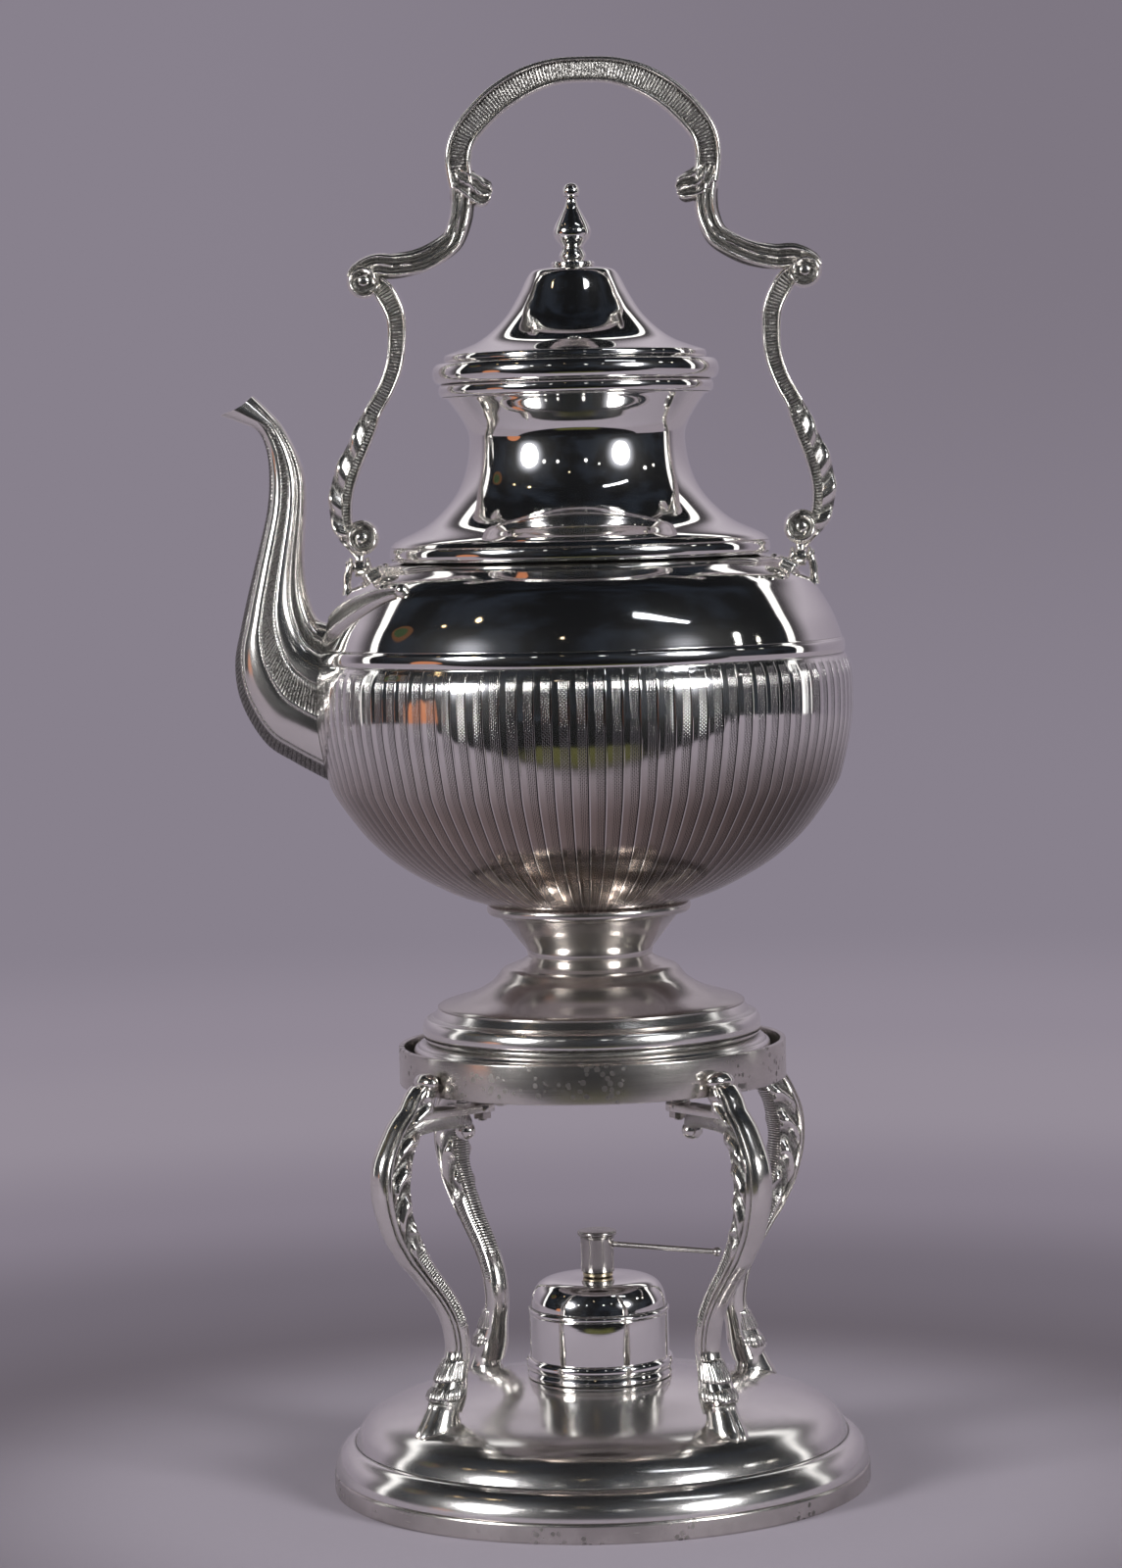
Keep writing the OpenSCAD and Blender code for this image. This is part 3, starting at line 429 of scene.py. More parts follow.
@dataclass(frozen=True)
class Relief:
    """Relief of a face of a cast bar.

    Args:
        height: Height of the face, 1 at the bar's half depth.
        cut: How dark the place is, from 0 to 1.
        hatch: How strong the fine ribs are, from 0 to 1.
        swell: Millimetres added to the half width.
    """

    height: Array
    cut: Array
    hatch: Array
    swell: Array


def all_round(value: Array) -> Array:
    """Numbers for a whole section of a bar: its front, outer edge, back and inner edge."""
    return np.hstack([value, value[:, -1:], value[:, ::-1], value[:, :1]])


def cast_bar(keys: Array, face: Callable[[Array, Array, Array], Relief], outer: int = 1) -> Skin:
    """Cast bar whose path lies in the XZ plane and whose front and back carry relief.

    A face is a row of points across the bar, at places from -1 to 1.

    Args:
        keys: Rows of x, z, half width and half depth.
        face: Relief from length along the path, place across and share of the path.
        outer: 1 if +1 across is the outer side of the object, otherwise -1.

    Returns:
        The skin.
    """
    v = directions(keys[:, :2])
    step = np.linalg.norm(np.diff(keys[:, :2], axis=0), axis=1)
    far = np.concatenate([[0], np.cumsum(step)])
    along, across = np.meshgrid(far, ACROSS, indexing="ij")
    relief = face(along, across * outer, along / far[-1])
    y = keys[:, 3:4] * relief.height
    edge = np.zeros((len(keys), 1))
    s = np.hstack([across, edge + EDGE_AT, across[:, ::-1], edge - EDGE_AT])
    deep = np.hstack([y, edge, -y[:, ::-1], edge])
    out = s * (keys[:, 2:3] + all_round(relief.swell))
    rings = np.stack([keys[:, :1] + out * v[:, 1:2], deep, keys[:, 1:2] - out * v[:, :1]], axis=-1)
    cut, hatch = all_round(relief.cut), all_round(relief.hatch)
    return tube(rings, cut=cut, hatch=hatch, along=all_round(along))


def rim(across: Array, at: float, half: float) -> Array:
    """Half round of height one, whose middle and half width across the bar are given."""
    return np.sqrt(np.maximum(1 - ((across - at) / half) ** 2, 0))


def plain_face(along: Array, across: Array, share: Array) -> Relief:
    """A smooth round face: height is the root of 1 - 0.7 s^2."""
    none = 0 * along
    return Relief(np.sqrt(1 - 0.7 * across**2), none, none, none)


def ribbon(path: Array, normal: Array, half: Array, height: Array, table: Array) -> Skin:
    """Band with a section of its own that lies on a surface.

    Args:
        path: Points on the surface.
        normal: Normals of the surface there.
        half: Half width at each point.
        height: Height at each point.
        table: Section as rows of place across (-1 to 1), height (0 to 1, or -1 for the
            underside, which lies 0.6 mm under the surface) and darkness.

    Returns:
        The skin.
    """
    n = unit(normal)
    b = unit(np.cross(directions(path), n))
    lift = np.where(table[None, :, 1] < 0, -0.6, height[:, None] * table[None, :, 1])
    side = half[:, None] * table[None, :, 0]
    rings = path[:, None, :] + side[..., None] * b[:, None, :] + lift[..., None] * n[:, None, :]
    return tube(rings, cut=np.broadcast_to(table[None, :, 2], lift.shape))


def wire(path: Array, radii: Array, sides: int = 16) -> Skin:
    """Round wire along a path in space: a circle of the radius square to the path at each point.

    Args:
        path: The points.
        radii: Radius at each point.
        sides: Number of points in a ring.

    Returns:
        The skin.
    """
    v = directions(path)
    n = unit(np.cross(np.broadcast_to([0.0, 0.0, 1.0], v.shape), v) + 1e-9)
    b = np.cross(v, n)
    a = (2 * np.pi * np.arange(sides) / sides)[None, :, None]
    offset = np.cos(a) * n[:, None, :] + np.sin(a) * b[:, None, :]
    return tube(path[:, None, :] + radii[:, None, None] * offset)


# Shader nodes

FULL_TURN = 6.2832


def linear(r: float, g: float, b: float) -> tuple[float, float, float, float]:
    """Linear colour of 8-bit screen values, by the screen's own curve.

    Args:
        r: Red, from 0 to 255.
        g: Green, from 0 to 255.
        b: Blue, from 0 to 255.

    Returns:
        Red, green, blue and an alpha of 1.
    """
    v = [c / 255 for c in (r, g, b)]
    r1, g1, b1 = (c / 12.92 if c <= 0.04045 else ((c + 0.055) / 1.055) ** 2.4 for c in v)
    return (r1, g1, b1, 1.0)


class Tree:
    """Short way to write one node tree."""

    def __init__(self, tree: bpy.types.NodeTree) -> None:
        """Keeps the tree to write in."""
        self.tree = tree

    def node(
        self, kind: str, /, inputs: dict[str | int, object] | None = None, **settings: object
    ) -> bpy.types.Node:
        """Adds a node.

        Args:
            kind: Its type, without the leading "ShaderNode".
            inputs: Values or sockets for its inputs, by name or number.
            **settings: Its other settings.

        Returns:
            The node.
        """
        made = self.tree.nodes.new(kind if kind.startswith("Node") else "ShaderNode" + kind)
        for key, value in settings.items():
            setattr(made, key, value)
        for key, value in (inputs or {}).items():
            if isinstance(value, bpy.types.NodeSocket):
                self.tree.links.new(value, made.inputs[key])
            elif value is not None:
                made.inputs[key].default_value = value
        return made

    def math(self, operation: str, a: object, b: object = None, c: object = None) -> Socket:
        """Output of a Math node."""
        return self.node("Math", {0: a, 1: b, 2: c}, operation=operation).outputs[0]

    def times(self, a: object, b: object) -> Socket:
        """Product of two numbers."""
        return self.math("MULTIPLY", a, b)

    def times_add(self, a: object, b: object, c: object) -> Socket:
        """Product of two numbers, plus a third."""
        return self.math("MULTIPLY_ADD", a, b, c)

    def dot(self, a: object, b: object) -> Socket:
        """Scalar product of two vectors."""
        return self.node("VectorMath", {0: a, 1: b}, operation="DOT_PRODUCT").outputs["Value"]

    def parts(self, vector: Socket) -> bpy.types.NodeOutputs:
        """The X, Y and Z of a vector."""
        return self.node("SeparateXYZ", {0: vector}).outputs

    def step(self, value: object, low: float, high: float) -> Socket:
        """Smooth step from 0 at low to 1 at high; low may be above high."""
        inputs = {"Value": value, "From Min": low, "From Max": high}
        return self.node("MapRange", inputs, interpolation_type="SMOOTHSTEP").outputs["Result"]

    def mix(self, factor: object, a: object, b: object) -> Socket:
        """Mix of two colours."""
        return self.node("Mix", {0: factor, 6: a, 7: b}, data_type="RGBA").outputs[2]

    def blend(self, factor: object, a: object, b: object) -> Socket:
        """Mix of two numbers."""
        return self.node("Mix", {0: factor, 2: a, 3: b}, data_type="FLOAT").outputs[0]

    def value(self, name: str) -> Socket:
        """Number kept at a mesh's points."""
        return self.node("Attribute", attribute_name=name).outputs["Fac"]

    def place(self) -> Socket:
        """Object coordinates."""
        return self.node("TexCoord").outputs["Object"]

    def use(self, group: bpy.types.NodeTree, **inputs: object) -> bpy.types.Node:
        """Adds a node group.

        Args:
            group: The group.
            **inputs: Values or sockets for its inputs, with underscores for spaces in names.

        Returns:
            The group's node.
        """
        made = self.node("Group", node_tree=group)
        for key, value in inputs.items():
            socket = made.inputs[key.replace("_", " ")]
            if isinstance(value, bpy.types.NodeSocket):
                self.tree.links.new(value, socket)
            else:
                socket.default_value = value
        return made


class Effect:
    """A node group being written."""

    KINDS = {"f": "NodeSocketFloat", "v": "NodeSocketVector", "c": "NodeSocketColor"}

    def __init__(self, name: str, inputs: dict[str, tuple[str, object]], outputs: dict[str, str]) -> None:
        """Makes the group with its sockets.

        Args:
            name: Name of the group.
            inputs: Kind and default value of each input, with the kinds of KINDS.
            outputs: Kind of each output.
        """
        self.group = bpy.data.node_groups.new(name, "ShaderNodeTree")
        for key, (kind, default) in inputs.items():
            socket = self.group.interface.new_socket(key, in_out="INPUT", socket_type=self.KINDS[kind])
            if default is not None:
                socket.default_value = default
        for key, kind in outputs.items():
            self.group.interface.new_socket(key, in_out="OUTPUT", socket_type=self.KINDS[kind])
        self.tree = Tree(self.group)
        self.inputs = self.tree.node("NodeGroupInput").outputs
        self.result = self.tree.node("NodeGroupOutput")

    def finish(self, **outputs: Socket) -> bpy.types.NodeTree:
        """Joins the outputs.

        Args:
            **outputs: A socket for each output, with underscores for spaces in names.

        Returns:
            The finished group.
        """
        for key, socket in outputs.items():
            self.group.links.new(socket, self.result.inputs[key.replace("_", " ")])
        return self.group


class Effects:
    """Shared groups: wear, fine scratches, fine ribs and the bowl's engraving."""

    def __init__(self) -> None:
        """Builds each group once."""
        self.wear = self._wear()
        self.scratches = self._scratches()
        self.ribs = self._ribs()
        self.panels = self._panels()

    def _wear(self) -> bpy.types.NodeTree:
        """Tarnish: clouds, and spots where a cell noise falls under a threshold.

        Returns:
            The group, which puts out Cloud, Spot and Grain.
        """
        e = Effect(
            "tarnish",
            {"Place": ("v", None), "Scale": ("f", 40.0), "Spots": ("f", 0.0)},
            {"Cloud": "f", "Spot": "f", "Grain": "f"},
        )
        t, place = e.tree, e.inputs["Place"]
        fine = {"Vector": place, "Scale": e.inputs["Scale"], "Detail": 5.0, "Roughness": 0.6}
        cloud = t.node("TexNoise", fine)
        colour = cloud.outputs["Color"]
        shift = t.node("VectorMath", {0: colour, 1: (0.004, 0.004, 0.004)}, operation="MULTIPLY")
        bent = t.node("VectorMath", {0: place, 1: shift.outputs[0]}, operation="ADD")
        cells = t.node("TexVoronoi", {"Vector": bent.outputs[0], "Scale": 420.0})
        patch = t.node("TexNoise", {"Vector": place, "Scale": 55.0, "Detail": 2.0})
        near = t.step(cells.outputs["Distance"], 0.44, 0.36)
        some = t.step(cells.outputs["Color"], 0.62, 0.6)
        area = t.step(patch.outputs["Fac"], 0.5, 0.62)
        spot = t.times(t.times(near, some), area)
        grain = t.node("TexNoise", {"Vector": place, "Scale": 900.0, "Detail": 3.0})
        return e.finish(
            Cloud=t.step(cloud.outputs["Fac"], 0.35, 0.7),
            Spot=t.times(spot, e.inputs["Spots"]),
            Grain=grain.outputs["Fac"],
        )

    def _scratches(self) -> bpy.types.NodeTree:
        """Polishing lines: noise drawn out round the axis, by using angle and height as place.

        Returns:
            The group, which puts out Line.
        """
        e = Effect("polishing_lines", {"Place": ("v", None), "Fineness": ("f", 1.0)}, {"Line": "f"})
        t = e.tree
        xyz = t.parts(e.inputs["Place"])
        angle = t.math("ARCTAN2", xyz[1], xyz[0])
        per_metre = 2600.0
        across = t.times(xyz[2], per_metre)
        square = t.math("ADD", t.math("POWER", xyz[0], 2.0), t.math("POWER", xyz[1], 2.0))
        reach = t.times(t.math("SQRT", square), per_metre)
        spot = t.node("CombineXYZ", {0: t.times(angle, 3.0), 1: across, 2: reach}).outputs[0]
        size = t.node("VectorMath", {0: spot, 3: e.inputs["Fineness"]}, operation="SCALE").outputs[0]
        noise = t.node("TexNoise", {"Vector": size, "Scale": 1.0, "Detail": 3.0, "Roughness": 0.7})
        return e.finish(Line=noise.outputs["Fac"])

    def _ribs(self) -> bpy.types.NodeTree:
        """Fine ribs across a path: a sine of the length along it, with its phase shaken a little.

        Returns:
            The group, which puts out Height and Groove.
        """
        e = Effect(
            "fine_ribs",
            {"Along": ("f", 0.0), "Pitch": ("f", 0.7), "Mask": ("f", 1.0), "Place": ("v", None)},
            {"Height": "f", "Groove": "f"},
        )
        t = e.tree
        noise = t.node("TexNoise", {"Vector": e.inputs["Place"], "Scale": 260.0, "Detail": 2.0})
        shake = t.times(noise.outputs["Fac"], 3.0)
        turns = t.math("DIVIDE", e.inputs["Along"], e.inputs["Pitch"])
        phase = t.times_add(turns, FULL_TURN, shake)
        wave = t.times_add(t.math("SINE", phase), 0.5, 0.5)
        height = t.times(wave, e.inputs["Mask"])
        groove = t.times(t.math("SUBTRACT", 1.0, wave), e.inputs["Mask"])
        return e.finish(Height=height, Groove=groove)

    def _panels(self) -> bpy.types.NodeTree:
        """Engraved panels round the axis: per panel a dark line, a raised edge with a mask for a painted
        highlight, and dashed lines.

        A panel is a share from 0 to 1 of the angle. The dashed lines are the upper half of nine
        columns in it, cut along the height into dashes that are staggered by half a dash.

        Returns:
            The group, which puts out Height, Cut and the mask of the painted highlight on the raised edge.
        """
        e = Effect(
            "engraved_panels",
            {"Place": ("v", None), "Count": ("f", 100.0), "High": ("f", 0.2922)},
            {"Height": "f", "Cut": "f", "Edge": "f"},
        )
        t, place = e.tree, e.inputs["Place"]
        xyz = t.parts(place)
        angle = t.math("DIVIDE", t.math("ARCTAN2", xyz[1], xyz[0]), 2 * math.pi)
        share = t.math("FRACT", t.times(t.math("ADD", angle, 1.0), e.inputs["Count"]))
        slot = t.times(t.step(share, 0.0, 0.02), t.step(share, 0.095, 0.07))
        edge = t.times(t.step(share, 0.08, 0.1), t.step(share, 0.19, 0.15))
        column = t.times(share, 9.0)
        line = t.math("FRACT", column)
        line = t.times(t.step(line, 0.15, 0.35), t.step(line, 0.85, 0.65))
        zone = t.times(t.step(share, 0.5, 0.53), t.step(share, 1.0, 0.97))
        stagger = t.times(t.math("FLOOR", column), 0.5)
        dash = t.math("FRACT", t.times_add(xyz[2], 850.0, stagger))
        dashes = t.times_add(t.step(dash, 0.2, 0.4), 0.65, 0.35)
        fine = t.times(t.times(line, zone), dashes)
        head = t.step(t.math("SUBTRACT", e.inputs["High"], xyz[2]), 0.001, 0.002)
        cut = t.times(t.math("MAXIMUM", slot, t.times(fine, 0.62)), head)
        return e.finish(
            Height=t.math("SUBTRACT", t.times(edge, 0.5), cut),
            Cut=cut,
            Edge=t.times(edge, head),
        )


# Finishes


class Slot(Enum):
    """Names of material slots, passed with each new piece."""

    MIRROR = "mirror_silver"
    SATIN = "satin_silver"
    OLD = "old_silver"
    BRASS = "brass"


# Heights of fine relief in metres: polishing line, grain, rib, pit and engraving
LINE_HEIGHT = 0.0000022
GRAIN_HEIGHT = 0.0000012
RIB_HEIGHT = 0.00022
PIT_DEPTH = -0.00015
PANEL_HEIGHT = 0.0001


@dataclass(frozen=True)
class Metal:
    """Finish of a metal piece.

    Args:
        tint: Colour of the clean metal.
        dark: Colour of oxide in recesses, and of painted shade where a piece is marked dark all over.
        rough: Roughness of the clean metal.
        wear: How much the clouds raise the roughness.
        haze: How strong the polishing lines are.
        grime: How dark the clouds and spots get.
        spots: How many tarnish spots there are.
        pitch: Pitch of fine ribs in millimetres.
        bloom: Share of a second, much rougher reflection, which softens the bright ones.
    """

    tint: tuple[float, float, float, float]
    dark: tuple[float, float, float, float]
    rough: float
    wear: float
    haze: float
    grime: float
    spots: float = 0.0
    pitch: float = 0.7
    bloom: float = 0.12

    def build(self, name: str, effects: Effects, panels: bool = False) -> Material:
        """Makes the material.

        Args:
            name: Name of the material.
            effects: Shared node groups.
            panels: True for the bowl with its engraved panels, a painted highlight on their raised edges
                and a painted brown reflection on its lower right side.

        Returns:
            The material.
        """
        material = bpy.data.materials.new(name)
        material.use_nodes = True
        t = Tree(material.node_tree)
        shader = material.node_tree.nodes["Principled BSDF"]
        place = t.place()
        wear = t.use(effects.wear, Place=place, Scale=38.0, Spots=self.spots)
        line = t.use(effects.scratches, Place=place, Fineness=0.35).outputs["Line"]
        cut = t.value("cut")
        along, hatch = t.value("along"), t.value("hatch")
        ribs = t.use(effects.ribs, Along=along, Pitch=self.pitch, Mask=hatch, Place=place)
        grime = t.times(wear.outputs["Cloud"], self.grime)
        colour = t.mix(grime, self.tint, tuple(0.55 * c for c in self.tint[:3]) + (1,))
        colour = t.mix(t.times(wear.outputs["Spot"], 0.75), colour, linear(96, 92, 90))
        stipple = t.node("TexVoronoi", {"Vector": place, "Scale": 1500.0}).outputs["Distance"]
        pits = t.times(t.step(cut, 0.3, 0.8), t.step(stipple, 0.6, 0.15))
        groove = t.times(ribs.outputs["Groove"], 0.95)
        depth = t.math("MAXIMUM", t.times(cut, 0.85), groove)
        depth = t.math("MINIMUM", t.times_add(pits, 0.25, depth), 1.0)
        colour = t.mix(t.times(depth, 0.92), colour, self.dark)
        rough = t.times_add(wear.outputs["Cloud"], self.wear, self.rough)
        rough = t.times_add(t.math("SUBTRACT", line, 0.5), self.haze, rough)
        rough = t.times_add(wear.outputs["Spot"], 0.25, rough)
        rough = t.times_add(depth, 0.3, rough)
        height = t.times(ribs.outputs["Height"], RIB_HEIGHT)
        height = t.times_add(line, LINE_HEIGHT * (1 + 20 * self.haze), height)
        height = t.times_add(wear.outputs["Grain"], GRAIN_HEIGHT, height)
        height = t.times_add(pits, PIT_DEPTH, height)
        if panels:
            engraved = t.use(effects.panels, Place=place)
            xyz = t.parts(place)
            low = t.step(xyz[2], 0.272, 0.240)
            colour = t.mix(t.times(low, 0.92), colour, linear(156, 140, 129))
            # Painted reflection: the right side of the lower bowl is darkened towards brown.
            right = t.times(low, t.step(xyz[0], -0.02, 0.08))
            colour = t.mix(t.times(right, 0.75), colour, linear(92, 80, 72))
            # Painted highlight: the raised edge of each lower panel is lightened towards white.
            bright = t.times(engraved.outputs["Edge"], t.times(low, 0.55))
            colour = t.mix(bright, colour, (1.0, 0.97, 0.95, 1))
            colour = t.mix(t.times(engraved.outputs["Cut"], 0.92), colour, self.dark)
            rough = t.times_add(low, 0.07, rough)
            height = t.times_add(engraved.outputs["Height"], PANEL_HEIGHT, height)
        bump = t.node("Bump", {"Strength": 1.0, "Distance": 1.0, "Height": height})
        for key, value in {"Base Color": colour, "Roughness": rough, "Normal": bump.outputs[0]}.items():
            t.tree.links.new(value, shader.inputs[key])
        shader.inputs["Metallic"].default_value = 1.0
        soft = t.node("BsdfAnisotropic", {"Color": colour, "Roughness": 0.42, "Normal": bump.outputs[0]})
        both = t.node("MixShader", {0: self.bloom, 1: shader.outputs[0], 2: soft.outputs[0]})
        t.tree.links.new(both.outputs[0], material.node_tree.nodes["Material Output"].inputs[0])
        return material


@dataclass(frozen=True)
class Cotton:
    """Finish of the wick: twisted strands as a sine of angle plus height, charred at the top.

    Args:
        colour: Colour of the clean cotton.
        char_from: Height in metres at which the char begins.
        char_full: Height in metres at which it is full.
    """

    colour: tuple[float, float, float, float]
    char_from: float = 0.0815
    char_full: float = 0.084

    def build(self, name: str) -> Material:
        """Makes the material.

        Args:
            name: Name of the material.

        Returns:
            The material.
        """
        material = bpy.data.materials.new(name)
        material.use_nodes = True
        t = Tree(material.node_tree)
        shader = material.node_tree.nodes["Principled BSDF"]
        place = t.place()
        xyz = t.parts(place)
        angle = t.times(t.math("ARCTAN2", xyz[1], xyz[0]), 8.0)
        strand = t.math("SINE", t.times_add(xyz[2], 5200.0, angle))
        fuzz = t.node("TexNoise", {"Vector": place, "Scale": 1500.0, "Detail": 4.0}).outputs["Fac"]
        char = t.step(xyz[2], self.char_from, self.char_full)
        colour = t.mix(t.times_add(strand, 0.15, 0.2), self.colour, linear(170, 158, 132))
        colour = t.mix(t.times(char, fuzz), colour, linear(40, 34, 30))
        height = t.times_add(strand, 0.00012, t.times(fuzz, 0.0001))
        bump = t.node("Bump", {"Strength": 0.8, "Distance": 1.0, "Height": height})
        for key, value in {"Base Color": colour, "Normal": bump.outputs[0]}.items():
            t.tree.links.new(value, shader.inputs[key])
        shader.inputs["Roughness"].default_value = 0.9
        return material


class Finishes:
    """Every material of the kettle."""

    def __init__(self) -> None:
        """Gives each finish its numbers and makes its material."""
        effects = Effects()
        silver, dark = (0.93, 0.91, 0.885, 1), linear(40, 36, 34)
        worn, deep = (0.88, 0.85, 0.81, 1), linear(20, 18, 16)
        plain, engraved = (0.88, 0.855, 0.83, 1), linear(18, 16, 15)
        grey, dim = (0.68, 0.645, 0.615, 1), (0.52, 0.495, 0.475, 1)
        pale, spotted = (0.9, 0.87, 0.83, 1), (0.7, 0.665, 0.63, 1)
        mirror = Metal(silver, dark, rough=0.035, wear=0.02, haze=0.03, grime=0.05, bloom=0.025)
        base = Metal(plain, dark, rough=0.13, wear=0.05, haze=0.06, grime=0.16, bloom=0.1)
        panels = Metal(silver, engraved, rough=0.055, wear=0.04, haze=0.04, grime=0.14, bloom=0.05)
        satin = Metal(grey, dark, rough=0.14, wear=0.06, haze=0.16, grime=0.34, bloom=0.16)
        dull = Metal(dim, dark, rough=0.18, wear=0.08, haze=0.2, grime=0.4, bloom=0.2)
        old = Metal(worn, deep, rough=0.12, wear=0.06, haze=0.05, grime=0.3, pitch=1.1, bloom=0.1)
        ribbed = Metal(pale, deep, rough=0.13, wear=0.07, haze=0.05, grime=0.2, pitch=1.15, bloom=0.14)
        ring = Metal(spotted, dark, rough=0.16, wear=0.1, haze=0.16, grime=0.6, spots=1.0, bloom=0.14)
        yellow, shade = (0.64, 0.54, 0.38, 1), linear(60, 46, 30)
        brass = Metal(yellow, shade, rough=0.25, wear=0.15, haze=0.1, grime=0.5)
        self.mirror = mirror.build("silver_polished", effects)
        self.base = base.build("silver_base", effects)
        self.panels = panels.build("silver_engraved", effects, panels=True)
        self.satin = satin.build("silver_satin", effects)
        self.dull = dull.build("silver_dull", effects)
        self.old = old.build("silver_cast", effects)
        self.ribbed = ribbed.build("silver_ribbed", effects)
        self.ring = ring.build("silver_tarnished", effects)
        self.brass = brass.build("brass_aged", effects)
        self.wick = Cotton(linear(228, 220, 200)).build("cotton_wick")


def settle(obj: Obj, body: str, material: Material, slot: Slot, *nodes: str) -> Obj:
    """Gives a piece its material, its body and the CAD nodes that it stands for.

    Args:
        obj: The piece.
        body: The CAD body that it moves with.
        material: Its material.
        slot: Not used.
        *nodes: CAD nodes that it replaces.

    Returns:
        The piece.
    """
    obj.data.materials.append(material)
    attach(obj, body)
    if nodes:
        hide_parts(*nodes)
    LOG.info("%s: %d faces, rides on %s", obj.name, len(obj.data.polygons), body)
    return obj


# Stand


@dataclass(frozen=True)
class StandSize:
    """Sizes of the base, the legs and the ring."""

    base_r: float = 95.0
    band_h: float = 7.0
    band_t: float = 2.4
    crease_z: float = 17.0
    crease_inset: float = 7.7
    seat_z: float = 38.0
    seat_r: float = 26.5
    wall: float = 1.2
    hoof_r: float = 70.6
    hoof_h: float = 7.0
    knee_out: float = 18.9
    shank_in: float = 8.5
    ring_r: float = 68.2
    ring_z: float = 144.0
    ring_h: float = 13.4
    ring_wall: float = 1.9
    flange_t: float = 1.5
    flange_hole: float = 43.0
    screw_at: float = 48.5
    tab_t: float = 2.6
    tab_w: float = 9.0
    tab_pad: float = 4.0
    knob_out: float = 4.6
    sides: tuple[float, ...] = (216.7, 306.7, 126.7, 36.7)


